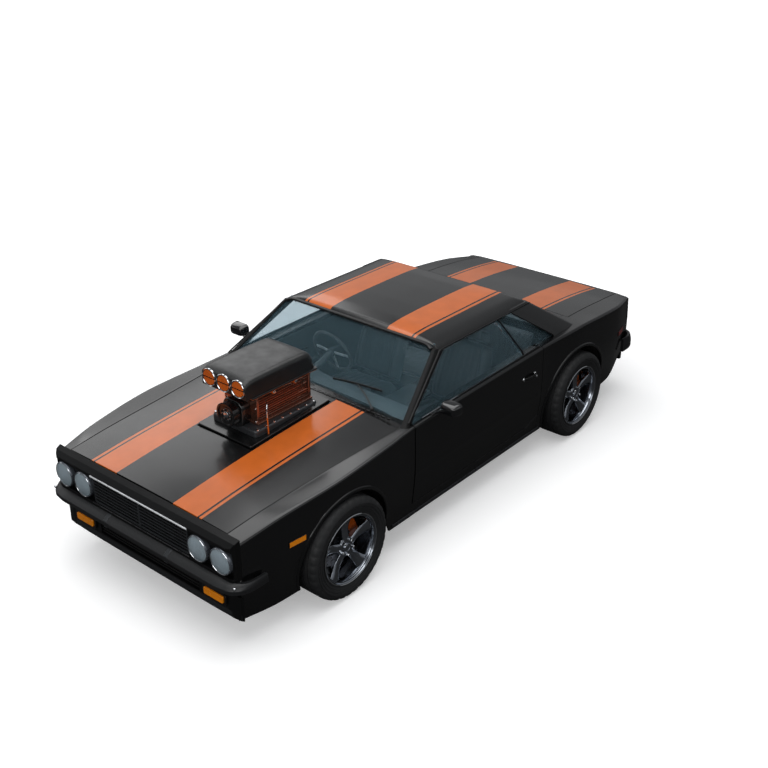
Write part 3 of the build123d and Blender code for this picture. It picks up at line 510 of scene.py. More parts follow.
@dataclass(frozen=True)
class StripedPaint(Finish):
    """Body paint with a broad band and a thin line along each side of the car."""

    band: Colour = (0.76, 0.38, 0.14)
    broad: Pair = (0.27, 0.488)
    thin: Pair = (0.503, 0.525)
    facing: float = -0.3

    def inside(self, nt: Tree, value: Socket, limits: Pair) -> Socket:
        """1 where the value lies between two limits: over the first times under the second."""
        over = sum_of(nt, "GREATER_THAN", value, limits[0])
        return sum_of(nt, "MULTIPLY", over, sum_of(nt, "LESS_THAN", value, limits[1]))

    def paint_over(self, nt: Tree, base: Socket) -> Socket:
        """The two bands by the distance from the centre line, left off where a skin faces down."""
        place = add_node(nt, "TexCoord")
        split, normal = (add_node(nt, "SeparateXYZ", {0: place.outputs[key]})
                         for key in ("Object", "Normal"))
        upper = sum_of(nt, "GREATER_THAN", normal.outputs["Z"], self.facing)
        off = add_node(nt, "Math", {0: split.outputs["X"]}, operation="ABSOLUTE").outputs[0]
        share = sum_of(nt, "ADD", self.inside(nt, off, self.broad), self.inside(nt, off, self.thin))
        orange = self.mixed(nt, self.ranged(nt, self.noise(nt, 9.0), 0, 1), linear(self.band),
                            linear(tuple(0.94 * c for c in self.band)))
        return self.mixed(nt, sum_of(nt, "MULTIPLY", share, upper), base, orange)


@dataclass(frozen=True)
class Glass(Finish):
    """Clear or tinted glass that lets the lamps' light through."""

    bend: float = 1.45
    film: float = 0.0
    film_colour: Colour = (0.4, 0.5, 0.54)

    def make(self) -> bpy.types.Material:
        """Glass to the eye and a tinted clear sheet to lamps; faint smears in its gloss.

        A share of its surface, the film, scatters light as dust and tint do.
        """
        if self.title in bpy.data.materials:
            return bpy.data.materials[self.title]
        mat, shader, nt = self.tree()
        clear = tinted(self.colour, 1.0)
        smear = self.ranged(nt, self.noise(nt, 6.0, 5.0), 0, 1)
        rough = self.ranged(nt, self.noise(nt, 14.0, 5.0), self.rough, self.rough + 0.02)
        wire(nt, shader,
             {"Transmission Weight": 1.0, "IOR": self.bend, "Roughness": rough,
              "Base Color": self.mixed(nt, smear, clear, tinted(self.colour, 1.03))})
        dust = add_node(nt, "BsdfDiffuse", {"Color": linear(self.film_colour)})
        coated = add_node(nt, "MixShader", {"Fac": self.film, 1: shader, 2: dust})
        see_through = add_node(nt, "BsdfTransparent", {"Color": clear})
        shadow = add_node(nt, "LightPath").outputs["Is Shadow Ray"]
        mix = add_node(nt, "MixShader", {"Fac": shadow, 1: coated, 2: see_through})
        wire(nt, nt.nodes["Material Output"], {"Surface": mix})
        return mat


@dataclass(frozen=True)
class Stitched(Finish):
    """Leather and grained plastic: a fine pebble of small cells."""

    def relief(self, nt: Tree) -> Socket:
        """Each pebble's height is the distance to the nearest edge between cells."""
        where = add_node(nt, "TexCoord").outputs["Object"]
        cells = add_node(nt, "TexVoronoi", {"Vector": where, "Scale": self.grain},
                         feature="DISTANCE_TO_EDGE")
        return cells.outputs["Distance"]


BODY_BLACK = Finish("paint_black", (0.045, 0.047, 0.05), rough=0.24, coat=0.3, coat_rough=0.12,
                    vary=0.04, rough_vary=0.015)
BODY_STRIPED = StripedPaint("paint_striped", (0.045, 0.047, 0.05), rough=0.24, coat=0.3,
                            coat_rough=0.12, vary=0.04, rough_vary=0.015)
# A darker, duller copy of the body's black: painted shade for the upright front panel and valance,
# and for the drip rails.
SHADE_PAINTED_BLACK = Finish("shade_painted_black", (0.03, 0.032, 0.035), rough=0.36, coat=0.05, coat_rough=0.15,
                    vary=0.04, rough_vary=0.02, specular=0.32)
PILLAR_BLACK = Finish("pillar_black", (0.045, 0.047, 0.05), rough=0.58, vary=0.04, rough_vary=0.02,
                      specular=0.22)
TRIM_BLACK = Finish("trim_black", (0.045, 0.045, 0.048), rough=0.4, grain=900, bump=0.06)
BUMPER_BLACK = Finish("bumper_black", (0.09, 0.094, 0.1), rough=0.42, coat=0.1, coat_rough=0.3,
                      vary=0.03, rough_vary=0.03)
CHIN_GREY = Finish("chin_grey", (0.12, 0.125, 0.132), rough=0.4, vary=0.03, rough_vary=0.03)
GUARD_GREY = Finish("guard_grey", (0.16, 0.17, 0.18), rough=0.35, vary=0.03, rough_vary=0.03)
UNDERSIDE = Finish("underbody", (0.06, 0.06, 0.062), rough=0.75, grain=220, bump=0.35, grime=0.35)
ORANGE = Finish("orange", (0.78, 0.36, 0.08), rough=0.28, coat=0.6, coat_rough=0.08)
CHROME = Finish("bright_chrome", (0.86, 0.87, 0.88), rough=0.1, metal=1.0, vary=0.03,
                rough_vary=0.03)
DARK_CHROME = Finish("wheel_chrome", (0.64, 0.66, 0.69), rough=0.17, metal=1.0, vary=0.03,
                     rough_vary=0.015)
TYRE_RUBBER = Finish("tyre", (0.1, 0.104, 0.11), rough=0.72, grain=700, bump=0.1, grime=0.06)
WINDOW = Glass("window_glass", (0.85, 0.885, 0.9), rough=0.0, bend=1.1, film=0.085)
LAMP_GLASS = Glass("lamp_glass", (0.8, 0.85, 0.88), rough=0.03, film=0.46,
                   film_colour=(0.62, 0.66, 0.68))
LAMP_BOWL = Finish("lamp_bowl", (0.42, 0.44, 0.46), rough=0.3, metal=0.8)
LAMP_RIM = Finish("lamp_rim", (0.4, 0.42, 0.45), rough=0.25, metal=0.7)
AMBER = Finish("amber_lens", (1.0, 0.58, 0.03), rough=0.22, coat=0.6, coat_rough=0.06)
RED_LENS = Finish("red_lens", (0.6, 0.1, 0.05), rough=0.16, coat=0.8, coat_rough=0.04)
# Near-white and mostly matt: bright trim with its glint painted into the colour.
GLINT_PAINTED_STRIP = Finish("glint_painted_strip", (0.93, 0.94, 0.95), rough=0.3, metal=0.35)
GRILLE_DARK = Finish("grille_dark", (0.035, 0.035, 0.038), rough=0.5)
SLAT_GREY = Finish("slat_grey", (0.15, 0.158, 0.168), rough=0.35)
LEATHER = Stitched("seat_leather", (0.27, 0.28, 0.29), rough=0.5, grain=420, bump=0.35)
CABIN = Stitched("cabin_plastic", (0.28, 0.305, 0.315), rough=0.55, grain=700, bump=0.2)
CARPET = Finish("carpet", (0.08, 0.08, 0.085), rough=0.95, grain=1500, bump=0.6, specular=0.1)
IRON = Finish("cast_iron", (0.2, 0.2, 0.205), rough=0.55, metal=0.6, grain=350, bump=0.3,
              grime=0.15)
AXLE_STEEL = Finish("axle_steel", (0.14, 0.14, 0.145), rough=0.5, metal=0.5, grain=300, bump=0.2,
                    grime=0.25)
SPRING_STEEL = Finish("spring_steel", (0.16, 0.15, 0.145), rough=0.55, metal=0.6, bump=0.05,
                      grime=0.3)
EXHAUST_STEEL = Finish("exhaust_steel", (0.5, 0.49, 0.47), rough=0.32, metal=1.0, grain=200,
                       bump=0.05, grime=0.2)
TANK_STEEL = Finish("tank_steel", (0.28, 0.28, 0.28), rough=0.45, metal=0.7, grain=120, bump=0.1,
                    grime=0.15)
DISC_STEEL = Finish("disc_steel", (0.55, 0.55, 0.56), rough=0.28, metal=1.0, grain=60, bump=0.05)
# Aluminium tinted orange: the tint is a painted reflection of the orange stripes.
ALLOY = Finish("blower_alloy", (0.56, 0.38, 0.31), rough=0.18, metal=0.85, grain=500, bump=0.03,
               coat=0.5, coat_rough=0.06)
SCOOP_ALLOY = Finish("scoop_alloy", (0.068, 0.07, 0.074), rough=0.42, grain=900, bump=0.03,
                     coat=0.25, coat_rough=0.25)
PULLEY_ALLOY = Finish("pulley_alloy", (0.13, 0.13, 0.14), rough=0.22, metal=0.9)
SNOUT_DARK = Finish("snout_dark", (0.05, 0.052, 0.056), rough=0.22, coat=0.4, coat_rough=0.08,
                    vary=0.03, rough_vary=0.02)
FLANGE_GREY = Finish("flange_grey", (0.19, 0.195, 0.205), rough=0.3, metal=0.3)
GLOSS_BLACK = Finish("gloss_black", (0.07, 0.073, 0.078), rough=0.1, coat=0.8, coat_rough=0.04,
                     vary=0.03, rough_vary=0.01)
RUBBER = Finish("seal_rubber", (0.03, 0.03, 0.032), rough=0.6, bump=0.1)


# ---- making objects ---------------------------------------------------------------------
def linked(name: str, data: bpy.types.ID) -> bpy.types.Object:
    """A new object with its data, in the scene."""
    obj = bpy.data.objects.new(name, data)
    bpy.context.scene.collection.objects.link(obj)
    return obj


def ease_edges(obj: bpy.types.Object, width: float, angle: float = 25.0, steps: int = 3) -> None:
    """Rounds an object's edges that turn by more than an angle in degrees."""
    rounder = obj.modifiers.new("edges", "BEVEL")
    rounder.width = width
    rounder.segments = steps
    rounder.limit_method = "ANGLE"
    rounder.angle_limit = math.radians(angle)
    rounder.harden_normals = True


def put(name: str, shell: Shell, finish: Finish, body: str = "car_body",
        bevel: float = 0.0, replaces: tuple[str, ...] = (), sharp: float = 38.0,
        subdivide: int = 0) -> bpy.types.Object:
    """Makes one finished piece from its surface.

    Args:
        name: the piece's name.
        shell: its surface.
        finish: what it is made of.
        body: the CAD body it moves with.
        bevel: width of its edge rounding.
        replaces: CAD nodes that it stands for.
        sharp: edges steeper than this many degrees stay crisp.
        subdivide: levels of subdivision.

    Returns:
        The new object, at the origin.
    """
    mesh = bpy.data.meshes.new(name)
    faces = shell.quads.tolist() + [cap.tolist() for cap in shell.caps]
    mesh.from_pydata(shell.points.tolist(), [], faces)
    bm = bmesh.new()
    bm.from_mesh(mesh)
    bmesh.ops.remove_doubles(bm, verts=bm.verts, dist=WELD)
    bmesh.ops.recalc_face_normals(bm, faces=bm.faces)
    bm.to_mesh(mesh)
    bm.free()
    mesh.polygons.foreach_set("use_smooth", np.ones(len(mesh.polygons), dtype=bool))
    obj = linked(name, mesh)
    mesh.materials.append(finish.make())
    if bevel > 0:
        ease_edges(obj, bevel, sharp, 2)
    else:
        mesh.set_sharp_from_angle(angle=math.radians(sharp))
    if subdivide:
        finer = obj.modifiers.new("finer", "SUBSURF")
        finer.levels = finer.render_levels = subdivide
    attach(obj, body)
    if replaces:
        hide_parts(*replaces)
    log.info("%s: %d faces, rides on %s", name, len(mesh.polygons), body)
    return obj


def dress(node: str, finish: Finish) -> None:
    """Gives a CAD node that stays in view its finish."""
    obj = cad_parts[node]
    for slot in obj.material_slots:
        slot.material = finish.make()
    log.info("%s: carried over from the frame", node)


class Side(Enum):
    """The car's two sides: the sign of x and the word used in names."""

    LEFT = (1.0, "left")
    RIGHT = (-1.0, "right")

    def of(self, shell: Shell) -> Shell:
        """A left-hand surface as it stands on this side."""
        return shell if self is Side.LEFT else shell.mirrored()

    @property
    def word(self) -> str:
        """The side's name."""
        return self.value[1]


# ---- body ------------------------------------------------------------------------------
def row(*sizes: float) -> Array:
    """A dataclass field that starts as an array of sizes."""
    return field(default_factory=lambda: np.array(sizes))


@dataclass
class BodyLines:
    """The outer body: one row of sizes for each cross-section, joined smoothly along the car."""

    y: Array = row(-2.262, -1.95, -1.43, -1.0, -0.7, 0.815, 1.33, 1.65, 1.95, 2.262)
    low_z: Array = row(.215, .205, .205, .205, .205, .205, .205, .212, .232, .4)
    low_x: Array = row(.8, .85, .872, .872, .872, .872, .875, .87, .86, .815)
    mid_x: Array = row(.858, .9, .935, .922, .908, .914, .945, .938, .918, .842)
    mid_z: Array = row(.56, .56, .56, .56, .56, .56, .56, .57, .58, .6)
    edge_x: Array = row(.85, .893, .935, .92, .903, .906, .928, .92, .9, .825)
    edge_z: Array = row(.785, .842, .886, .905, .922, .946, .952, .93, .902, .862)
    top_x: Array = row(.745, .757, .775, .8, .83, .83, .77, .75, .73, .705)
    top_z: Array = row(.812, .842, .872, .895, .912, .94, .95, .94, .918, .878)
    crown_z: Array = row(.822, .858, .905, .93, .942, .95, .966, .954, .93, .892)
    shoulder: float = 0.024
    waist: float = 0.12
    side_points: int = 26

    def along(self, column: Array, y: Array) -> Array:
        """A column at any y: cubic spans whose slopes are the harmonic mean of the two sides."""
        h = np.diff(self.y)
        rise = np.diff(column) / h
        mean = np.zeros_like(column)
        same = rise[:-1] * rise[1:] > 0
        harmonic = 2 * rise[:-1] * rise[1:] / np.where(same, rise[:-1] + rise[1:], 1.0)
        mean[1:-1] = np.where(same, harmonic, 0.0)
        mean[0], mean[-1] = rise[0], rise[-1]
        k = np.clip(np.searchsorted(self.y, y) - 1, 0, len(h) - 1)
        t = (y - self.y[k]) / h[k]
        a, b, m, n = column[k], column[k + 1], mean[k] * h[k], mean[k + 1] * h[k]
        return cubic(t, a, b, m, n)

    def top(self, y: Array, x: Array) -> Array:
        """Height of the upper surface: a crown that falls as the square of the way outward."""
        crown, edge, wide = (self.along(c, y) for c in (self.crown_z, self.top_z, self.top_x))
        return crown - (crown - edge) * (x / wide) ** 2

    def section(self, y: Array) -> Array:
        """Each cross-section from sill to centre line, its corners as quadratic curves.

        Args:
            y: places along the car.

        Returns:
            Points (x, z), one row of 66 for each place.
        """
        get = self.along
        low = columns(get(self.low_x, y), get(self.low_z, y))
        mid = columns(get(self.mid_x, y), get(self.mid_z, y))
        edge = columns(get(self.edge_x, y), get(self.edge_z, y))
        inner = columns(get(self.top_x, y), get(self.top_z, y))

        def toward(a: Array, b: Array, step: float) -> Array:
            """The point one step from a on the way to b."""
            return a + (b - a) * (step / np.linalg.norm(b - a, axis=-1, keepdims=True))

        def line(a: Array, b: Array, count: int) -> Array:
            """Even points from a, short of b."""
            t = np.linspace(0, 1, count, endpoint=False)[None, :, None]
            return a[:, None] * (1 - t) + b[:, None] * t

        def bend(a: Array, v: Array, b: Array, count: int) -> Array:
            """A quadratic curve from a towards v and round to b."""
            t = np.linspace(0, 1, count, endpoint=False)[None, :, None]
            return a[:, None] * (1 - t) ** 2 + 2 * v[:, None] * t * (1 - t) + b[:, None] * t**2

        m0, m1 = toward(mid, low, self.waist), toward(mid, edge, self.waist)
        e0, e1 = toward(edge, mid, self.shoulder), toward(edge, inner, self.shoulder)
        i0 = toward(inner, edge, 0.02)
        x = inner[:, :1] * np.linspace(0.97, 0, 20)[None, :]
        crown = columns(x, self.top(y[:, None], x))
        i1 = crown[:, 0]
        return np.concatenate([line(low, m0, 6), bend(m0, mid, m1, 8), line(m1, e0, 6),
                               bend(e0, edge, e1, 12), line(e1, i0, 8), bend(i0, inner, i1, 6),
                               crown], axis=1)

    def patch(self, y: Array, low_z: Array, high_x: Array, count: int = 56) -> Array:
        """A grid of the left side between a lower height and an inner edge on top.

        In each section the grid's points are even in the section's own numbering, from where
        it passes low_z on the side to where it passes high_x on top.

        Args:
            y: places along the car.
            low_z: lower edge at each place.
            high_x: inner edge at each place.
            count: points up each section.

        Returns:
            The grid of points.
        """
        dense = self.section(y)
        side, last = self.side_points, dense.shape[1] - 1
        rows = np.arange(len(y))

        def place(values: Array, target: Array, first: int, stop: int) -> Array:
            """Where rising values pass a target, as a fractional index."""
            part = values[:, first:stop]
            k = np.clip((part < target[:, None]).sum(axis=1), 1, part.shape[1] - 1)
            a, b = part[rows, k - 1], part[rows, k]
            return first + k - 1 + np.clip((target - a) / np.maximum(b - a, 1e-9), 0, 1)

        start = place(dense[..., 1], low_z, 0, side)
        end = place(-dense[..., 0], -high_x, side, last + 1)
        at = start[:, None] + (end - start)[:, None] * np.linspace(0, 1, count)[None, :]
        k = np.clip(np.floor(at).astype(int), 0, last - 1)
        t = (at - k)[..., None]
        a = np.take_along_axis(dense, k[..., None].repeat(2, axis=-1), axis=1)
        b = np.take_along_axis(dense, (k + 1)[..., None].repeat(2, axis=-1), axis=1)
        xz = a * (1 - t) + b * t
        return columns(xz[..., 0], y[:, None], xz[..., 1])

    def side_x(self, y: Array, z: Array) -> Array:
        """Half width of the side at given heights: read off each section."""
        dense = self.section(y)[:, :self.side_points]
        k = np.clip((dense[..., 1] < z[:, None]).sum(axis=1), 1, self.side_points - 1)
        rows = np.arange(len(y))
        a, b = dense[rows, k - 1], dense[rows, k]
        t = np.clip((z - a[:, 1]) / np.maximum(b[:, 1] - a[:, 1], 1e-9), 0, 1)
        return a[:, 0] + (b[:, 0] - a[:, 0]) * t


@dataclass
class WheelOpening:
    """A round opening whose edge nearer the door is let down to the sill."""

    y: float
    z: float
    radius: float
    foot_y: float
    sill_z: float = 0.205

    def ends(self) -> Pair:
        """Where the round is widest, front and back."""
        return self.y - self.radius, self.y + self.radius

    def low_edge(self, y: Array, sill: Array) -> Array:
        """Lower edge of the panel: the round's height over its centre line, then the foot."""
        half = np.clip(1 - ((y - self.y) / self.radius) ** 2, 0, 1)
        over = self.z + self.radius * np.sqrt(half)
        front, back = self.ends()
        edge = back if self.foot_y > self.y else front
        share = np.clip((y - edge) / (self.foot_y - edge), 0, 1)
        foot = self.z + (self.sill_z - self.z) * share
        result = np.where((y >= front) & (y <= back), over, sill)
        between = (y - edge) * (y - self.foot_y) < 0
        return np.where(between, foot, result)

    def places(self) -> Array:
        """Places along the car crowded towards the ends of the round."""
        t = np.linspace(0, math.pi, 57)
        front, back = self.ends()
        sharp = np.array([front - 0.0002, back + 0.0002, self.foot_y])
        return np.concatenate([self.y - self.radius * np.cos(t), sharp])

    def lip(self, lines: BodyLines) -> Shell:
        """The rolled lip: a small raised section carried round the opening."""
        t = np.radians(np.linspace(-18, 198, 73))
        ring = np.array([(0.0, -0.01), (-0.001, 0.004), (0.004, 0.0075), (0.011, 0.008),
                         (0.019, 0.005), (0.024, 0.001), (0.024, -0.008)])
        r = self.radius + ring[:, 0]
        y = self.y + r[None, :] * np.cos(t)[:, None]
        z = self.z + r[None, :] * np.sin(t)[:, None]
        x = lines.side_x(y.reshape(-1), z.reshape(-1)).reshape(y.shape) + ring[None, :, 1]
        return tube(columns(x, y, z))


FRONT_OPENING = WheelOpening(-1.419, 0.34, 0.402, -0.955)
REAR_OPENING = WheelOpening(1.315, 0.35, 0.42, 0.893)


def merged(*parts: Array) -> Array:
    """Sorted places without near doubles."""
    every = np.sort(np.concatenate(parts))
    return every[np.concatenate([[True], np.diff(every) > 5e-5])]


@dataclass
class Bodywork:
    """Wings, doors, quarters, sills, bonnet and boot lid."""

    lines: BodyLines = field(default_factory=BodyLines)
    skin: float = 0.012
    front_y: float = -2.256
    door_y: Pair = (-0.72, 0.812)
    gap: float = 0.008
    lid_gap: float = 0.006
    tail_y: float = 2.244
    bonnet_y: Pair = (-2.25, -0.794)
    bonnet_side: tuple[tuple[float, ...], tuple[float, ...]] = (
        (-2.25, -1.43, -1.0, -0.794), (0.742, 0.772, 0.797, 0.815))
    boot_y: Pair = (1.424, 2.236)
    boot_side: tuple[tuple[float, ...], tuple[float, ...]] = (
        (1.424, 1.95, 2.236), (0.742, 0.728, 0.702))
    opening_x: float = 0.258
    opening_y: Pair = (-1.591, -0.836)
    door_low: float = 0.317
    door_corner: Pair = (0.665, 0.375)

    def build(self) -> None:
        """Makes every outer panel."""
        for side in Side:
            self.wing(side)
            self.door(side)
            self.quarter(side)
        self.sills()
        self.bonnet()
        self.boot_lid()
        self.deck()
        self.cowl()

    def wing(self, side: Side) -> None:
        """Front wing: from the nose to the door, over the shoulder to the bonnet's edge."""
        end = self.door_y[0] - self.gap
        y = merged(np.linspace(self.front_y, -1.83, 14), FRONT_OPENING.places(),
                   np.linspace(-0.95, end, 9))
        sill = self.lines.along(self.lines.low_z, y)
        low = FRONT_OPENING.low_edge(y, sill)
        high = np.interp(y, *self.bonnet_side) + self.lid_gap
        grid = self.lines.patch(y, low, high)
        shell = panel(grid, self.skin, away=(0.3, -1.4, 0.3))
        put(f"front_wing_{side.word}_skin", side.of(shell), BODY_BLACK, bevel=0.003,
            replaces=(f"front_wing_{side.word}",))
        put(f"front_arch_lip_{side.word}", side.of(FRONT_OPENING.lip(self.lines)), BODY_BLACK,
            sharp=50)

    def door(self, side: Side) -> None:
        """Door skin, laid over the door's own frame from sill to window."""
        y = merged(np.linspace(*self.door_y, 40), np.array([self.door_corner[0]]))
        low = np.interp(y, (self.door_corner[0], self.door_y[1]),
                        (self.door_low, self.door_corner[1]))
        grid = self.lines.patch(y, low, np.full(len(y), 0.874))
        n = normals(grid)
        n = n * np.sign(np.mean(n[..., 0]))
        shell = slab(grid + n * 0.0026, grid - n * 0.001)
        put(f"door_{side.word}_skin", side.of(shell), BODY_BLACK,
            f"{side.word}_door_body", bevel=0.0012)
        dress(f"door_{side.word}", BODY_BLACK)

    def quarter(self, side: Side) -> None:
        """Rear quarter: from the door to the tail, with the blind wall behind the door."""
        start = self.door_y[1] + self.gap
        y = merged(np.linspace(start, 0.9, 6), REAR_OPENING.places(),
                   np.array([1.3298, 1.3302, 1.4178, 1.4182]), np.linspace(1.74, self.tail_y, 14))
        sill = self.lines.along(self.lines.low_z, y)
        low = REAR_OPENING.low_edge(y, sill)
        high = np.interp(y, *self.boot_side) + self.lid_gap
        high = np.where(y < 1.418, 0.7, high)
        high = np.where(y < 1.33, 0.82, high)
        grid = self.lines.patch(y, low, high)
        shell = panel(grid, self.skin, away=(0.3, 1.4, 0.3))
        wall = block((0.797, start + 0.001, 0.25), (0.87, start + 0.012, 0.925))
        put(f"rear_quarter_{side.word}_skin", side.of(shell), BODY_BLACK,
            bevel=0.003, replaces=(f"rear_quarter_{side.word}",))
        put(f"door_shut_{side.word}", side.of(wall), BODY_BLACK, bevel=0.004)
        put(f"rear_arch_lip_{side.word}", side.of(REAR_OPENING.lip(self.lines)), BODY_BLACK,
            sharp=50)

    def sills(self) -> None:
        """Sill under each door, with a grey strip along it."""
        y = merged(np.linspace(-0.7278, 0.8198, 30), np.array([0.659]))
        height = np.interp(y, (self.door_corner[0] - 0.006, self.door_y[1]),
                           (self.door_low - self.gap, self.door_corner[1] - self.gap))[:, None]
        t = np.linspace(0, 1, 8)[None, :]
        low = self.lines.along(self.lines.low_z, y)[:, None]
        z = low + (height - low) * t
        x = np.stack([self.lines.side_x(y, z[:, k]) for k in range(8)], axis=1)
        grid = columns(x, y[:, None], z)
        inner = grid.copy()
        inner[..., 0] = 0.797
        put("sill_panels", slab(grid, inner).both_sides(), BODY_BLACK, bevel=0.003,
            replaces=("sills",))
        strip_y = np.linspace(-0.93, 0.86, 40)
        strip_z = np.full(40, 0.232)
        path = columns(self.lines.side_x(strip_y, strip_z) + 0.003, strip_y, strip_z)
        profile = rounded(0.008, 0.022, 0.0035, 3)
        put("rocker_strips", swept(path, profile).both_sides(), FLANGE_GREY)

    def lid_grid(self, y: Array, side: Array, hole: float | None) -> Array:
        """A grid across a lid: even steps outside the hole's edge and inside it."""
        edge = np.full(len(y), 0.0) if hole is None else np.full(len(y), hole)
        outer = side[:, None] + (edge - side)[:, None] * np.linspace(0, 1, 15)[None, :]
        half = outer
        if hole is not None:
            inner = edge[:, None] * np.linspace(1, 0, 9)[None, 1:]
            half = np.concatenate([outer, inner], axis=1)
        return full_width(columns(half, y[:, None], self.lines.top(y[:, None], half)))

    def bonnet(self) -> None:
        """Bonnet with the opening the blower stands through."""
        y = merged(np.linspace(self.bonnet_y[0], self.opening_y[0], 22),
                   np.linspace(*self.opening_y, 18),
                   np.linspace(self.opening_y[1], self.bonnet_y[1], 3))
        side = np.interp(y, *self.bonnet_side)
        grid = self.lid_grid(y, side, self.opening_x)
        mid_y = (grid[:-1, :-1, 1] + grid[1:, 1:, 1]) / 2
        mid_x = (grid[:-1, :-1, 0] + grid[1:, 1:, 0]) / 2
        hole = (np.abs(mid_x) < self.opening_x) & (mid_y > self.opening_y[0])
        hole &= mid_y < self.opening_y[1]
        shell = panel(grid, 0.016, ~hole, (0, -1.4, 0.2))
        put("bonnet_skin", shell, BODY_STRIPED, "bonnet_body", bevel=0.003,
            replaces=("bonnet",))

    def boot_lid(self) -> None:
        """Boot lid."""
        y = np.linspace(*self.boot_y, 26)
        grid = self.lid_grid(y, np.interp(y, *self.boot_side), None)
        put("boot_lid_skin", panel(grid, 0.016, away=(0, 1.8, 0.2)), BODY_STRIPED,
            "boot_lid_body", bevel=0.003, replaces=("boot_lid",))

    def deck(self) -> None:
        """Panel between the rear window and the boot lid, and the shelf inside the window."""
        y = np.linspace(1.305, 1.418, 6)
        grid = self.lid_grid(y, np.full(6, 0.699), None)
        put("rear_deck_skin", panel(grid, 0.014, away=(0, 1.35, 0.2)), BODY_STRIPED,
            bevel=0.002, replaces=("rear_deck_panel",))
        put("parcel_shelf", block((-0.76, 1.175, 0.905), (0.76, 1.31, 0.925)), CABIN,
            bevel=0.008)

    def cowl(self) -> None:
        """Slotted cowl between the bonnet and the windscreen."""
        y = np.linspace(self.bonnet_y[1] + self.lid_gap, -0.7, 6)
        grid = self.lid_grid(y, np.full(6, 0.822), None)
        shell = panel(grid, 0.01, away=(0, -0.75, 0.2))
        slots = [block((x - 0.016, -0.782, 0.93), (x + 0.016, -0.77, 0.9405))
                 for x in np.arange(-0.72, 0.73, 0.045) if abs(x) > 0.03]
        put("cowl_panel", shell, BODY_BLACK, bevel=0.002)
        put("cowl_slots", joined(slots), TRIM_BLACK, bevel=0.001)


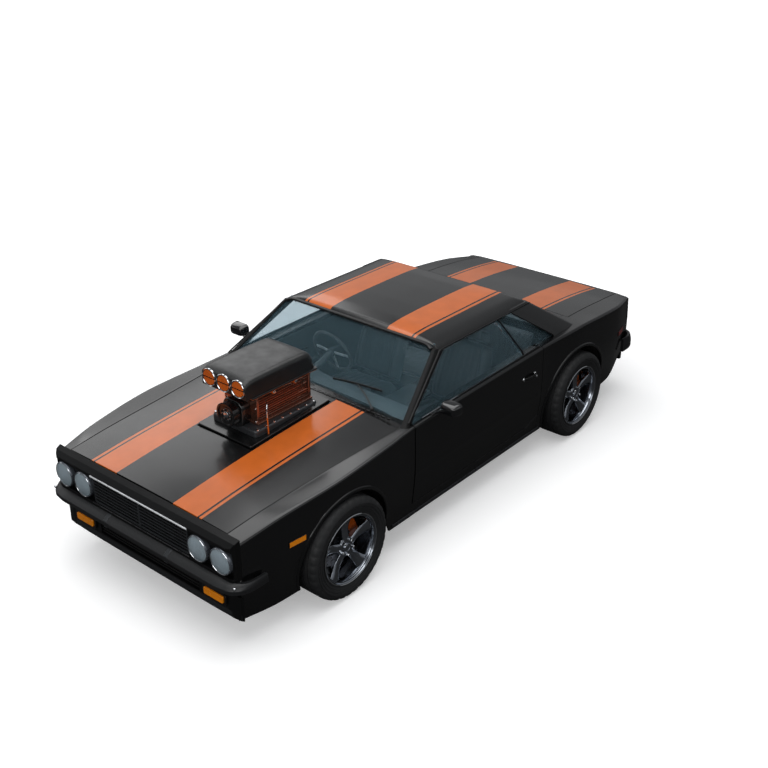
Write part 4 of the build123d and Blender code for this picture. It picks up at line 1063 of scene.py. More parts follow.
# ---- glasshouse -------------------------------------------------------------------------
@dataclass
class Glasshouse:
    """Roof, pillars, windows and their trim."""

    screen_base: Pair = (-0.766, 0.925)
    screen_top: Pair = (-0.234, 1.299)
    roof_line: tuple[Pair, ...] = (
        (-0.1, 1.314), (0.12, 1.324), (0.42, 1.326), (0.64, 1.32), (0.78, 1.306))
    rear_base: Pair = (1.33, 0.95)
    half: tuple[Pair, ...] = (
        (0.0, 1.328), (0.3, 1.321), (0.52, 1.306), (0.64, 1.29), (0.7, 1.27),
        (0.724, 1.248))
    belt: Pair = (0.868, 0.925)
    screen_side: tuple[Pair, ...] = ((0.815, 0.936), (0.684, 1.281))
    back_side: tuple[Pair, ...] = ((0.7, 0.975), (0.61, 1.276))
    soft: float = 0.006

    def side_x(self, z: Array | float) -> Array | float:
        """Half width of the side windows' plane at a height."""
        return on_line(self.half[-1], self.belt, z)

    def screen_y(self, z: Array | float) -> Array | float:
        """Place of the windscreen's plane at a height."""
        return on_line(self.screen_base, self.screen_top, z)

    def back_y(self, z: Array | float) -> Array | float:
        """Place of the rear window's plane at a height."""
        return on_line(self.roof_line[-1], self.rear_base, z)

    def roof_grid(self, drop: float, draw: float) -> Array:
        """The roof: at each point the lower of the side view's line and the section's line.

        The two are joined softly: minus k times the logarithm of the sum of exp(-z / k).

        Args:
            drop: how far below the outer surface.
            draw: how far in from its rails.

        Returns:
            The grid across the car.
        """
        front_z, back_z, base = 1.283, 1.278, 1.2
        ys, zs = np.array([(self.screen_y(front_z), front_z), self.screen_top, *self.roof_line,
                           (self.back_y(back_z), back_z)]).T
        t = np.linspace(0, 1, 61)
        chord = np.concatenate([[0], np.cumsum(np.hypot(np.diff(ys), np.diff(zs)))])
        chord /= chord[-1]
        kernel = bell(7)
        fine = np.linspace(-0.06, 1.06, 401)
        before, after = np.minimum(fine, 0), np.maximum(fine - 1, 0)
        raw_y = np.interp(fine, chord, ys) + (before + after) * 1.2
        raw_z = np.interp(fine, chord, zs) + (before - after) * 0.8
        y = np.interp(t, fine[3:-3], np.convolve(raw_y, kernel, "valid"))
        z_line = np.interp(t, fine[3:-3], np.convolve(raw_z, kernel, "valid"))
        hx, hz = np.array(self.half).T
        s = np.linspace(0, 1, 31)
        x = (1 - s**1.6) * (hx[-1] - draw)
        z_half = np.interp(x, hx - draw * hx / hx[-1], hz)
        smooth = np.convolve(np.pad(z_half, 2, mode="edge"), bell(7)[1:-1], "valid")
        smooth[0] = hz[-1]
        k = self.soft
        low = np.exp(-(z_line[:, None] - base) / k) + np.exp(-(smooth[None, :] - base) / k)
        z = base - k * np.log(low) - drop
        return full_width(columns(x, y[:, None], z))

    def build(self) -> None:
        """Makes the roof, pillars, glass and trim."""
        self.roof()
        for side in Side:
            self.front_pillar(side)
            self.rear_pillar(side)
        self.panes()
        self.trim()

    def roof(self) -> None:
        """Roof skin with its rolled rails, and the lining below it."""
        outer = self.roof_grid(0.0, 0.0)
        inner = self.roof_grid(0.024, 0.03)
        inner[0, :, 1] += 0.022
        inner[-1, :, 1] -= 0.022
        put("roof_skin", slab(outer, inner), BODY_STRIPED, bevel=0.004,
            replaces=("roof",))
        lining = self.roof_grid(0.027, 0.045)[3:-3]
        put("roof_lining", slab(lining, lining - np.array([0, 0, 0.004])), CARPET)

    def front_pillar(self, side: Side) -> None:
        """Windscreen pillar: screen edge, outer corner, window edge and an inner face.

        The corners of its section run straight from the foot to the roof.
        """
        sets = []
        for z_screen, z_rail, z_window, y_window in ((0.905, 0.905, 0.905, -0.752),
                                                     (1.279, 1.262, 1.24, -0.198)):
            x_screen = on_line(*self.screen_side, z_screen)
            corner_x = min(self.side_x(z_rail), self.belt[0])
            corner_y, screen_y = self.screen_y(z_rail), self.screen_y(z_screen)
            window_x = min(self.side_x(z_window), self.belt[0])
            ends = [(x_screen, screen_y, z_screen), (corner_x - 0.02, corner_y, z_rail),
                    (corner_x - 0.005, corner_y + 0.005, z_rail),
                    (corner_x, corner_y + 0.02, z_rail), (window_x, y_window, z_window),
                    (window_x - 0.045, y_window + 0.004, z_window),
                    (x_screen - 0.004, screen_y + 0.045, z_screen - 0.012)]
            sets.append(np.array(ends))
        t = np.linspace(0, 1, 14)[:, None, None]
        shell = tube(sets[0][None] * (1 - t) + sets[1][None] * t)
        put(f"windscreen_pillar_{side.word}", side.of(shell), PILLAR_BLACK,
            bevel=0.003, replaces=("windscreen_frame",) if side is Side.LEFT else ())

    def rear_pillar(self, side: Side) -> None:
        """Rear pillar: window edge, outer face, rounded rear corner and the screen's edge."""
        z = np.array([0.915, 0.96, 1.04, 1.12, 1.2, 1.236, 1.262])
        front = np.interp(z, (0.958, 1.236), (1.04, 0.628))
        front = np.where(z > 1.24, 0.618, front)
        x = self.side_x(z)
        back = self.back_y(z)
        x_glass = on_line(*self.back_side, z)
        low_x = np.minimum(x, self.belt[0])
        cols = [(low_x, front), (low_x, front * 0.7 + back * 0.3), (low_x, back - 0.03),
                (low_x - 0.004, back - 0.01), (low_x - 0.018, back), (x_glass, back),
                (x_glass - 0.002, back - 0.03), (x - 0.048, back - 0.06),
                (x - 0.048, front + 0.004)]
        grid = np.stack([columns(cx, cy, z) for cx, cy in cols], axis=1)
        put(f"rear_pillar_{side.word}", side.of(tube(grid)), BODY_BLACK, bevel=0.003)

    def panes(self) -> None:
        """The glass keeps the frame's own panes."""
        for node in ("fixed_windows", "door_glass_left", "door_glass_right"):
            dress(node, WINDOW)

    def trim(self) -> None:
        """Drip rails, the strip over the windscreen and each side's trim."""
        rail_y = np.linspace(-0.246, 0.865, 30)
        rail = columns(0.7255, rail_y, 1.2465)
        foot = smooth_path([(0.8615, -0.742, 0.938), (0.795, -0.494, 1.093),
                            (0.7285, -0.246, 1.2465)], 8)
        path = np.vstack([foot[:-1], rail])
        # Drip rails in the darker black of painted shade.
        put("drip_rails", swept(path, rounded(0.01, 0.009, 0.003, 3)).both_sides(), SHADE_PAINTED_BLACK)
        x = np.linspace(-0.69, 0.69, 41)
        z = np.minimum(1.277, np.interp(np.abs(x), *np.array(self.half).T) - 0.012)
        bead = columns(x, self.screen_y(z) - 0.003, z)
        put("screen_top_trim", swept(bead, rounded(0.03, 0.018, 0.006, 4)), TRIM_BLACK)
        for side in Side:
            self.side_trim(side)

    def side_trim(self, side: Side) -> None:
        """Belt strips along the door, and the upright edges of the side windows."""
        belt_y = np.linspace(-0.62, 0.8, 30)
        belt_z = BodyLines().top(belt_y, np.full(30, 0.83)) + 0.01
        belt = columns(0.8745, belt_y, belt_z)
        put(f"belt_strip_{side.word}", side.of(swept(belt, rounded(0.008, 0.016, 0.003, 3))),
            TRIM_BLACK, f"{side.word}_door_body")
        bright = belt[:9].copy()
        bright[:, 2] += 0.009
        put(f"belt_bright_{side.word}", side.of(swept(bright, rounded(0.013, 0.006, 0.0025, 3))),
            CHROME, f"{side.word}_door_body")
        z = np.linspace(0.935, 1.243, 12)
        bar_y = np.interp(z, (0.963, 1.247), (0.617, 0.455))
        bar = columns(self.side_x(z) - 0.004, bar_y, z)
        put(f"window_bar_{side.word}",
            side.of(swept(bar, rounded(0.01, 0.014, 0.003, 3), (1, 0, 0))), TRIM_BLACK)
        z = np.linspace(0.962, 1.234, 12)
        edge_y = np.interp(z, (0.958, 1.236), (1.036, 0.628))
        edge = columns(self.side_x(z) - 0.001, edge_y, z)
        put(f"quarter_window_edge_{side.word}",
            side.of(swept(edge, rounded(0.01, 0.012, 0.003, 3), (1, 0, 0))), TRIM_BLACK)


# ---- wheels -----------------------------------------------------------------------------
@dataclass
class Wheels:
    """Four wheels, their discs and calipers; each wheel turns about its own axle line."""

    front_y: float = -1.43
    rear_y: float = 1.33
    hub_z: float = 0.354
    centre_x: float = 0.842
    rim_radius: float = 0.242
    barrel_radius: float = 0.214
    spokes: int = 5
    studs: int = 5

    def build(self) -> None:
        """Makes all four wheels and dresses the brakes and knuckles."""
        for side in Side:
            for end, y in (("front", self.front_y), ("rear", self.rear_y)):
                self.wheel(side, end, y)
            dress(f"knuckle_{side.word}", IRON)
        self.calipers()

    def tyre(self, y: float) -> Shell:
        """A tyre: one turned section with grooves and rings, and notches cut in its shoulders."""
        side = [(0.094, 0.2405), (0.106, 0.2415), (0.112, 0.246), (0.114, 0.256), (0.1175, 0.264),
                (0.1205, 0.268), (0.1205, 0.2715), (0.117, 0.2735), (0.1215, 0.2765),
                (0.124, 0.287), (0.125, 0.2925), (0.121, 0.2942), (0.1262, 0.2965), (0.1274, 0.304),
                (0.1277, 0.311), (0.1238, 0.3128), (0.1276, 0.315), (0.1262, 0.319),
                (0.1235, 0.3265), (0.119, 0.336), (0.114, 0.3435), (0.1075, 0.3485),
                (0.099, 0.3512)]
        tread = []
        for x in (0.07, 0.024, -0.024, -0.07):
            tread += [(x + 0.0052, 0.3538), (x + 0.0042, 0.3478), (x - 0.0042, 0.3478),
                      (x - 0.0052, 0.3538)]
        outer = side + [(0.092, 0.3527)] + tread + [(-0.092, 0.3527)]
        outer += [(-x, r) for x, r in side[::-1]]
        profile = outer + [(-0.08, 0.236), (0.08, 0.236)]
        steps = 216
        shell = lathe(profile, (self.centre_x, y, self.hub_z), Along.X, steps, closed=True)
        grid = shell.points.reshape(len(profile), steps, 3)
        prof = np.array(profile)
        depth = np.interp(np.abs(prof[:, 0]), (0.088, 0.094, 0.119, 0.1225), (0, 1, 1, 0))
        depth = depth * (prof[:, 1] > 0.33) * 0.0045
        notch = (np.arange(steps) % 6 < 2).astype(float)
        middle = np.array([0.0, y, self.hub_z])
        arm = grid - middle
        length = np.linalg.norm(arm[..., 1:], axis=-1)
        factor = 1 - depth[:, None] * notch[None, :] / length
        grid[..., 1:] = middle[1:] + arm[..., 1:] * factor[..., None]
        shell.points = grid.reshape(-1, 3)
        return shell

    def rim(self, y: float) -> Shell:
        """The rim: outer lip, drop centre and barrel as one closed turned section."""
        r = self.rim_radius
        profile = [(0.098, r - 0.003), (0.112, r - 0.002), (0.1165, r + 0.0035), (0.119, r + 0.001),
                   (0.118, r - 0.006), (0.11, r - 0.011), (0.108, r - 0.018), (0.096, r - 0.0225),
                   (0.07, self.barrel_radius + 0.003), (0.01, self.barrel_radius),
                   (-0.095, self.barrel_radius + 0.002), (-0.112, r - 0.014), (-0.116, r - 0.001),
                   (-0.106, r + 0.002), (-0.098, r - 0.004), (-0.08, r - 0.01), (0.08, r - 0.01)]
        return lathe(profile, (self.centre_x, y, self.hub_z), Along.X, 96, closed=True)

    def spoke(self, y: float) -> Shell:
        """One broad spoke: rounded sections that widen and step out from hub to rim.

        Each section's height across the spoke is a raised cosine of the way across, so its face
        is crowned and its edges are soft.
        """
        r = np.array([0.045, 0.07, 0.095, 0.125, 0.155, 0.185, 0.208, 0.224])
        half = np.array([0.03, 0.029, 0.029, 0.031, 0.034, 0.039, 0.046, 0.056])
        front = np.array([0.078, 0.08, 0.076, 0.074, 0.078, 0.086, 0.094, 0.098])
        back = np.array([0.028, 0.028, 0.03, 0.034, 0.04, 0.052, 0.066, 0.078])
        u = np.linspace(-1, 1, 13)
        crown = 0.01 * (1 - np.abs(u) ** 2.4)
        groove = 0.002 * np.exp(-(u / 0.16) ** 2)
        face_x = front[:, None] - 0.01 + crown[None, :] - groove[None, :]
        across = half[:, None] * u[None, :]
        back_x = np.broadcast_to(back[:, None], across.shape)[:, ::-1]
        x = np.concatenate([face_x, back_x], axis=1)
        z = np.concatenate([across, across[:, ::-1] * 0.86], axis=1)
        radial = np.sqrt(np.maximum(r[:, None] ** 2 - (z * 0.55) ** 2, 1e-6))
        return tube(columns(self.centre_x + x, y + z, self.hub_z + radial))

    def wheel(self, side: Side, end: str, y: float) -> None:
        """One wheel with its tyre, nuts, cap, valve and disc."""
        body = f"{end}_{side.word}_wheel_body"
        axis, hub = (1.0, 0.0, 0.0), (self.centre_x, y, self.hub_z)
        spokes = spun(self.spoke(y), self.spokes, axis, hub)
        centre = lathe([(0.02, 0.0), (0.02, 0.07), (0.066, 0.07), (0.076, 0.062), (0.078, 0.045),
                        (0.078, 0.0)], hub, Along.X, 60)
        name = f"{end}_wheel_{side.word}"
        put(f"{name}_rim", side.of(self.rim(y)), DARK_CHROME, body,
            replaces=(name,))
        put(f"{name}_spokes", side.of(spokes), DARK_CHROME, body, bevel=0.0025,
            sharp=50)
        put(f"{name}_centre", side.of(centre), DARK_CHROME, body, bevel=0.002)
        bright = lathe([(0.1175, self.rim_radius - 0.004), (0.1205, self.rim_radius + 0.0005),
                        (0.1185, self.rim_radius + 0.0042), (0.1165, self.rim_radius)], hub,
                       Along.X, 96, closed=True)
        put(f"{name}_edge", side.of(bright), CHROME, body)
        nut = lathe([(0.074, 0.0), (0.074, 0.0095), (0.094, 0.0095), (0.097, 0.0075), (0.098, 0.0)],
                    (self.centre_x, y, self.hub_z + 0.052), Along.X, 6)
        nuts = spun(nut, self.studs, axis, hub).turned(axis, math.pi / 5, hub)
        put(f"{name}_nuts", side.of(nuts), CHROME, body, bevel=0.001)
        cap = lathe([(0.07, 0.0), (0.07, 0.033), (0.084, 0.032), (0.088, 0.028), (0.088, 0.022),
                     (0.086, 0.02), (0.09, 0.01), (0.091, 0.0)], hub, Along.X, 40)
        put(f"{name}_cap", side.of(cap), DARK_CHROME, body, bevel=0.0008)
        valve = rod((self.centre_x + 0.088, y + 0.13, self.hub_z + 0.16),
                    (self.centre_x + 0.114, y + 0.132, self.hub_z + 0.163), 0.004, 10)
        put(f"{name}_valve", side.of(valve), RUBBER, body, bevel=0.001)
        put(f"{end}_tyre_{side.word}_rubber", side.of(self.tyre(y)), TYRE_RUBBER, body,
            sharp=40, replaces=(f"{end}_tyre_{side.word}",))
        self.disc(side, end, y, body)

    def disc(self, side: Side, end: str, y: float, body: str) -> None:
        """A drilled disc: its ring, the bell in the middle and three rows of dark dots that paint
        the shade in the drilled holes.
        """
        x = self.centre_x
        ring = lathe([(-0.026, 0.096), (-0.026, 0.175), (-0.046, 0.175), (-0.046, 0.096)],
                     (x, y, self.hub_z), Along.X, 72, closed=True)
        hat = lathe([(0.02, 0.0), (0.02, 0.068), (-0.012, 0.074), (-0.026, 0.1), (-0.034, 0.1),
                     (-0.034, 0.0)], (x, y, self.hub_z), Along.X, 60)
        # Thin dark discs on the ring's face: painted shade where the drilled holes are.
        hole = lathe([(-0.0262, 0.0), (-0.0262, 0.0042), (-0.0252, 0.0042), (-0.0252, 0.0)],
                     (x, y, self.hub_z), Along.X, 10)
        holes = [hole.moved((0, 0, r)).turned((1, 0, 0), 2 * math.pi * (k + shift) / 18,
                                              (x, y, self.hub_z))
                 for r, shift in ((0.115, 0.0), (0.137, 0.33), (0.159, 0.66))
                 for k in range(18)]
        put(f"{end}_disc_{side.word}", side.of(ring), DISC_STEEL, body, bevel=0.001)
        put(f"{end}_disc_bell_{side.word}", side.of(hat), IRON, body, bevel=0.002)
        put(f"{end}_disc_holes_{side.word}", side.of(joined(holes)), RUBBER, body)

    def caliper(self, y: float) -> Shell:
        """A caliper over the disc's rear edge: arc-shaped halves joined by a bridge."""
        t = np.radians(np.linspace(12, 58, 15))
        parts = []
        for x0, x1, low, high in ((0.825, 0.844, 0.118, 0.19), (0.77, 0.788, 0.118, 0.19),
                                  (0.78, 0.838, 0.181, 0.194)):
            corner = np.array([(x0, low + 0.006), (x0 + 0.004, low), (x1 - 0.004, low),
                               (x1, low + 0.006), (x1, high - 0.006), (x1 - 0.006, high),
                               (x0 + 0.006, high), (x0, high - 0.006)])
            r = corner[None, :, 1]
            yy = y + r * np.cos(t)[:, None]
            zz = self.hub_z + r * np.sin(t)[:, None]
            parts.append(tube(columns(corner[:, 0], yy, zz)))
        return joined(parts)

    def calipers(self) -> None:
        """Calipers: front ones steer with the knuckles, rear ones stay on the axle."""
        for side in Side:
            put(f"caliper_front_{side.word}", side.of(self.caliper(self.front_y)), ORANGE,
                f"{side.word}_knuckle_body", bevel=0.002, replaces=(f"front_caliper_{side.word}",))
        put("calipers_rear", self.caliper(self.rear_y).both_sides(), ORANGE, bevel=0.002,
            replaces=("rear_calipers",))


# ---- nose and tail ----------------------------------------------------------------------
@dataclass(frozen=True)
class BarSection:
    """Corner lines of a wrapped bumper, each half a plan from the centre to the end (x, y)."""

    face: tuple[Pair, ...]
    face_inner: tuple[Pair, ...]
    top: tuple[Pair, ...]
    top_inner: tuple[Pair, ...]
    heights: Point

    def eased(self, plan: tuple[Pair, ...], height: float) -> Array:
        """A plan's full line at one height, its corners softened by a running mean."""
        half = np.array(plan)
        _, line = resampled(np.vstack([half[:0:-1] * np.array([-1, 1]), half]), 220)
        padded = np.pad(line, ((5, 5), (0, 0)), mode="edge")
        soft = np.stack([np.convolve(column, bell(11), "valid") for column in padded.T], axis=-1)
        soft[0], soft[-1] = line[0], line[-1]
        return np.column_stack([soft, np.full(len(soft), height)])

    def bar(self) -> Shell:
        """The bar: an upright face, a slope above it and the same two lines inside.

        Across the slope the points bulge by a sine of the way up, 4 mm at most.
        """
        low, mid, high = self.heights
        a, b = self.eased(self.face, low), self.eased(self.face, mid)
        c, d = self.eased(self.top, high), self.eased(self.top_inner, high - 0.004)
        e, f = self.eased(self.face_inner, mid - 0.01), self.eased(self.face_inner, low)
        middle = np.array([0.0, 0.0, mid])
        away = b - middle
        away[:, 2] = 0.0
        away = away / np.linalg.norm(away, axis=1, keepdims=True)
        rows = [a, a * 0.75 + b * 0.25, b * 0.85 + a * 0.15, b]
        for t in np.linspace(0, 1, 8)[1:-1]:
            bulge = 0.004 * math.sin(math.pi * t)
            rows.append(b * (1 - t) + c * t + np.array([0, 0, bulge]) + away * bulge * 0.4)
        rows += [c, d, e, f]
        return tube(np.stack(rows, axis=1))


def guards(outline: list[Pair]) -> Shell:
    """Two bumper guards from the outline (y, z) of their inner side."""
    inner, wide = 0.276, 0.036
    flat = np.array([(inner, y, z) for y, z in outline])
    return prism(flat, (wide, 0, 0)).both_sides()


@dataclass
class Nose:
    """Header, grille, lamps, front bumper and valance."""

    face_y: float = -2.318
    lamp_x: Pair = (0.55, 0.748)
    lamp_z: float = 0.658
    lamp_radius: float = 0.089
    grille_half: float = 0.452
    grille_z: Pair = (0.564, 0.746)
    slats: int = 8
    section: BarSection = BarSection(
        ((0.0, -2.37), (0.74, -2.37), (0.846, -2.352), (0.9, -2.296), (0.918, -2.23),
         (0.918, -2.11)),
        ((0.0, -2.344), (0.732, -2.344), (0.832, -2.327), (0.876, -2.282), (0.892, -2.222),
         (0.892, -2.11)),
        ((0.0, -2.32), (0.724, -2.32), (0.832, -2.308), (0.886, -2.28), (0.908, -2.222),
         (0.91, -2.11)),
        ((0.0, -2.294), (0.676, -2.294), (0.804, -2.285), (0.862, -2.266), (0.886, -2.218),
         (0.888, -2.11)), (0.478, 0.505, 0.538))
    signal: Pair = (0.626, 0.345)

    def build(self) -> None:
        """Makes every piece of the nose."""
        self.header()
        self.grille()
        self.lamps()
        self.bumper()
        self.valance()

    def header(self) -> None:
        """The header over the grille is the frame's own, in the darker black of painted shade, with
        bright edges on it; the upper edge's glint is painted in as near-white colour.
        """
        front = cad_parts["front_panel"]
        dress("front_panel", SHADE_PAINTED_BLACK)
        ease_edges(front, 0.004)
        x = np.linspace(-0.462, 0.462, 30)
        path = columns(x, self.face_y + 0.001, 0.7545)
        # The header's bright strip: its glint is painted in as near-white colour.
        put("header_strip", swept(path, rounded(0.012, 0.013, 0.0045, 4)), GLINT_PAINTED_STRIP)
        low = path.copy()
        low[:, 2] = self.grille_z[0] - 0.006
        put("grille_sill_strip", swept(low, rounded(0.006, 0.007, 0.002, 3)), DISC_STEEL)

    def grille(self) -> None:
        """Thin slats across the mouth, a centre bar, uprights behind, a rim, and a dark sheet at
        the back that paints the recess's shade.
        """
        low, high = self.grille_z
        half = self.grille_half - 0.004
        slats = [block((-half, -2.311, z - 0.003), (half, -2.303, z + 0.003))
                 for z in np.linspace(low + 0.01, high - 0.01, self.slats)]
        uprights = [block((x - 0.0015, -2.299, low + 0.004), (x + 0.0015, -2.29, high - 0.004))
                    for x in np.linspace(-half, half, 9)[1:-1]]
        centre = block((-0.008, -2.3125, low + 0.002), (0.008, -2.288, high - 0.002))
        ring = rounded(2 * half, high - low - 0.004, 0.01, 5)
        path = upright(ring, 0, -2.306, (low + high) / 2)
        put("grille_slats", joined(slats), SLAT_GREY, bevel=0.0008,
            replaces=("grille",))
        put("grille_uprights", joined(uprights), GRILLE_DARK, bevel=0.0006)
        put("grille_centre_bar", centre, SLAT_GREY, bevel=0.002)
        put("grille_rim", swept(path, rounded(0.01, 0.007, 0.0025, 3), (0, -1, 0), ring=True),
            SLAT_GREY)
        # A dark sheet behind the uprights: painted shade of the grille's recess.
        put("grille_shade_sheet", block((-half, -2.2905, low + 0.004), (half, -2.286, high - 0.004)),
            RUBBER)

    def lens(self, centre: Point, radius: float) -> Shell:
        """A fluted lens: a dome falling as the square of the way out, with upright flutes.

        The flutes are a cosine of the place across, 12.5 mm apart, fading at the rim.
        """
        x0, y0, z0 = centre
        rows, steps = 20, 88
        t = np.arange(steps) * 2 * math.pi / steps
        r = np.linspace(0.02, 1, rows)[:, None] * radius
        x, z = r * np.cos(t), r * np.sin(t)
        share = r / radius
        flute = 0.0006 * np.cos(x * 2 * math.pi / 0.0125) * np.clip((1 - share) * 6, 0, 1)
        y = y0 - 0.028 + 0.021 * share**2 + flute
        outer = columns(x + x0, y, z + z0)
        inner = outer + np.array([0, 0.003, 0])
        return tube(np.concatenate([outer, inner[::-1]]))

    def lamps(self) -> None:
        """Four round lamps: a proud bezel, dark bowl, bulb shroud and fluted dome."""
        r = self.lamp_radius
        rows = (("bezels", LAMP_RIM, 72, True,
                 [(0.026, r - 0.001), (-0.003, r - 0.0005), (-0.007, r - 0.003),
                  (-0.0085, r - 0.0065), (-0.0065, r - 0.0095), (0.002, r - 0.011),
                  (0.026, r - 0.011)]),
                ("rings", CHROME, 72, True,
                 [(-0.0078, r - 0.004), (-0.0095, r - 0.006), (-0.0078, r - 0.008),
                  (-0.006, r - 0.006)]),
                ("bowls", LAMP_BOWL, 56, False,
                 [(0.02, 0.0), (0.019, 0.024), (0.014, 0.046), (0.002, r - 0.014),
                  (0.004, r - 0.0105), (0.026, r - 0.0105), (0.0265, 0.0)]),
                ("shrouds", DISC_STEEL, 32, False,
                 [(-0.006, 0.0), (-0.005, 0.01), (0.0, 0.015), (0.02, 0.015), (0.02, 0.0)]))
        centres = [(x, self.face_y, self.lamp_z) for x in self.lamp_x]
        for name, finish, steps, closed, profile in rows:
            pair = joined([lathe(profile, place, Along.Y, steps, closed) for place in centres])
            put(f"lamp_{name}", pair.both_sides(), finish, replaces=("headlamps",)
                if name == "bezels" else ())
        glasses = joined([self.lens(place, r - 0.0105) for place in centres])
        put("lamp_glasses", glasses.both_sides(), LAMP_GLASS, sharp=60)

    def bumper(self) -> None:
        """The wrapped bar with a guard and a bright bolt on each side."""
        put("front_bumper_bar", self.section.bar(), BUMPER_BLACK, sharp=25,
            replaces=("front_bumper",))
        outline = [(-2.366, 0.462), (-2.3695, 0.51), (-2.34, 0.534), (-2.318, 0.542),
                   (-2.318, 0.522), (-2.345, 0.5), (-2.345, 0.462)]
        put("bumper_guards", guards(outline), GUARD_GREY, bevel=0.004)
        bolt = lathe([(-0.005, 0.0), (-0.004, 0.0085), (-0.001, 0.0105), (0.006, 0.0105),
                      (0.006, 0.0)], (0.862, -2.333, 0.522), Along.Y, 20)
        put("bumper_bolts", bolt.both_sides(), CHROME)

    def valance(self) -> None:
        """Valance with its slot, the two signals and the lip below; a dark sheet behind the slot
        and a dark strip over the lip's crease are painted shade.
        """
        # The valance takes the darker black of painted shade.
        dress("front_valance", SHADE_PAINTED_BLACK)
        x, z = self.signal
        face = frame_face("front_valance", -1)
        lens = upright(rounded(0.172, 0.052, 0.014, 6), x, face + 0.004, z)
        body = prism(lens, (0, -0.026, 0))
        path = upright(rounded(0.19, 0.07, 0.02, 7), x, face - 0.006, z)
        bezel = swept(path, rounded(0.022, 0.014, 0.004, 3), (0, -1, 0), ring=True)
        put("front_signals", body.both_sides(), AMBER, bevel=0.004)
        put("signal_bezels", bezel.both_sides(), TRIM_BLACK)
        bars = [block((-0.476, face + 0.006, z0 - 0.003), (0.476, face + 0.02, z0 + 0.003))
                for z0 in (0.31, 0.334, 0.358, 0.382)]
        put("valance_slats", joined(bars), GRILLE_DARK, bevel=0.001)
        # A dark sheet behind the slats: painted shade inside the slot.
        backing = block((-0.478, face + 0.0205, 0.294), (0.478, face + 0.024, 0.394))
        put("valance_shade_sheet", backing, RUBBER)
        t = np.linspace(-1, 1, 61)
        lip_y = face - 0.002 + 0.016 * np.abs(t) ** 9
        path = columns(t * 0.838, lip_y, 0.26)
        put("chin_lip", swept(path, rounded(0.01, 0.042, 0.004, 3)), CHIN_GREY)
        # A dark strip along the chin lip's crease: painted shade.
        groove = path.copy()
        groove[:, 2] = 0.2865
        put("chin_crease_shade", swept(groove, rounded(0.006, 0.009, 0.002, 3)), RUBBER)


def frame_face(node: str, sign: int) -> float:
    """The frontmost (-1) or rearmost (+1) place of a CAD node along the car."""
    low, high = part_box(node)
    return float(low[1] if sign < 0 else high[1])


@dataclass
class Tail:
    """Tail panel, lamps, rear bumper and valance."""

    lamp_x: Pair = (0.42, 0.79)
    lamp_z: Pair = (0.655, 0.76)
    face_y: float = 2.292
    section: BarSection = BarSection(
        ((0.0, 2.37), (0.74, 2.37), (0.834, 2.35), (0.886, 2.29), (0.906, 2.216),
         (0.906, 2.11)),
        ((0.0, 2.344), (0.732, 2.344), (0.82, 2.325), (0.862, 2.276), (0.88, 2.21),
         (0.88, 2.11)),
        ((0.0, 2.32), (0.724, 2.32), (0.822, 2.314), (0.872, 2.282), (0.898, 2.214),
         (0.902, 2.11)),
        ((0.0, 2.296), (0.682, 2.296), (0.806, 2.296), (0.852, 2.276), (0.88, 2.21),
         (0.882, 2.11)), (0.444, 0.494, 0.56))

    def build(self) -> None:
        """Makes every piece of the tail."""
        for node in ("tail_panel", "rear_valance"):
            dress(node, BODY_BLACK)
            ease_edges(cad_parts[node], 0.003)
        self.lamps()
        put("rear_bumper_bar", self.section.bar(), BUMPER_BLACK, sharp=25,
            replaces=("rear_bumper",))
        outline = [(2.369, 0.424), (2.3695, 0.498), (2.333, 0.571), (2.312, 0.575), (2.312, 0.542),
                   (2.345, 0.49), (2.345, 0.424)]
        put("rear_guards", guards(outline), GUARD_GREY, bevel=0.004)
        shape = upright(rounded(0.33, 0.11, 0.008, 5), 0, 2.2765, 0.375)
        plate = prism(shape, (0, 0.003, 0))
        put("rear_plate_blank", plate, BUMPER_BLACK, bevel=0.001)
        lock = lathe([(0.006, 0.0), (0.006, 0.013), (-0.006, 0.016), (-0.006, 0.0)],
                     (0.0, self.face_y + 0.001, 0.8), Along.Y, 24)
        put("boot_lock", lock, CHROME, bevel=0.001)

    def lamps(self) -> None:
        """Two four-part lamps a side: ribbed lenses in a bright rim on a dark panel."""
        (x0, x1), (z0, z1) = self.lamp_x, self.lamp_z
        y = self.face_y
        lenses, ribs = [], []
        edges = np.linspace(x0 + 0.01, x1 - 0.01, 5)
        for a, b in zip(edges[:-1], edges[1:]):
            lenses.append(block((a + 0.002, y - 0.002, z0 + 0.01),
                                (b - 0.002, y + 0.0085, z1 - 0.01)))
            ribs += [block((a + 0.003, y + 0.006, z - 0.0012), (b - 0.003, y + 0.0098, z + 0.0012))
                     for z in np.linspace(z0 + 0.018, z1 - 0.018, 9)]
        outline = rounded(x1 - x0 - 0.01, z1 - z0 - 0.01, 0.01, 5)
        path = upright(outline, (x0 + x1) / 2, y + 0.004, (z0 + z1) / 2)
        put("tail_lamp_lenses", joined(lenses).both_sides(), RED_LENS, bevel=0.0015,
            replaces=("tail_lamps",))
        put("tail_lamp_ribs", joined(ribs).both_sides(), RED_LENS, bevel=0.0005)
        put("tail_lamp_rims",
            swept(path, rounded(0.009, 0.01, 0.003, 3), (0, 1, 0), ring=True).both_sides(), CHROME)
        backing = block((-0.395, y - 0.002, z0 - 0.004), (0.395, y + 0.003, z1 + 0.004))
        put("tail_centre_panel", backing, TRIM_BLACK, bevel=0.002)


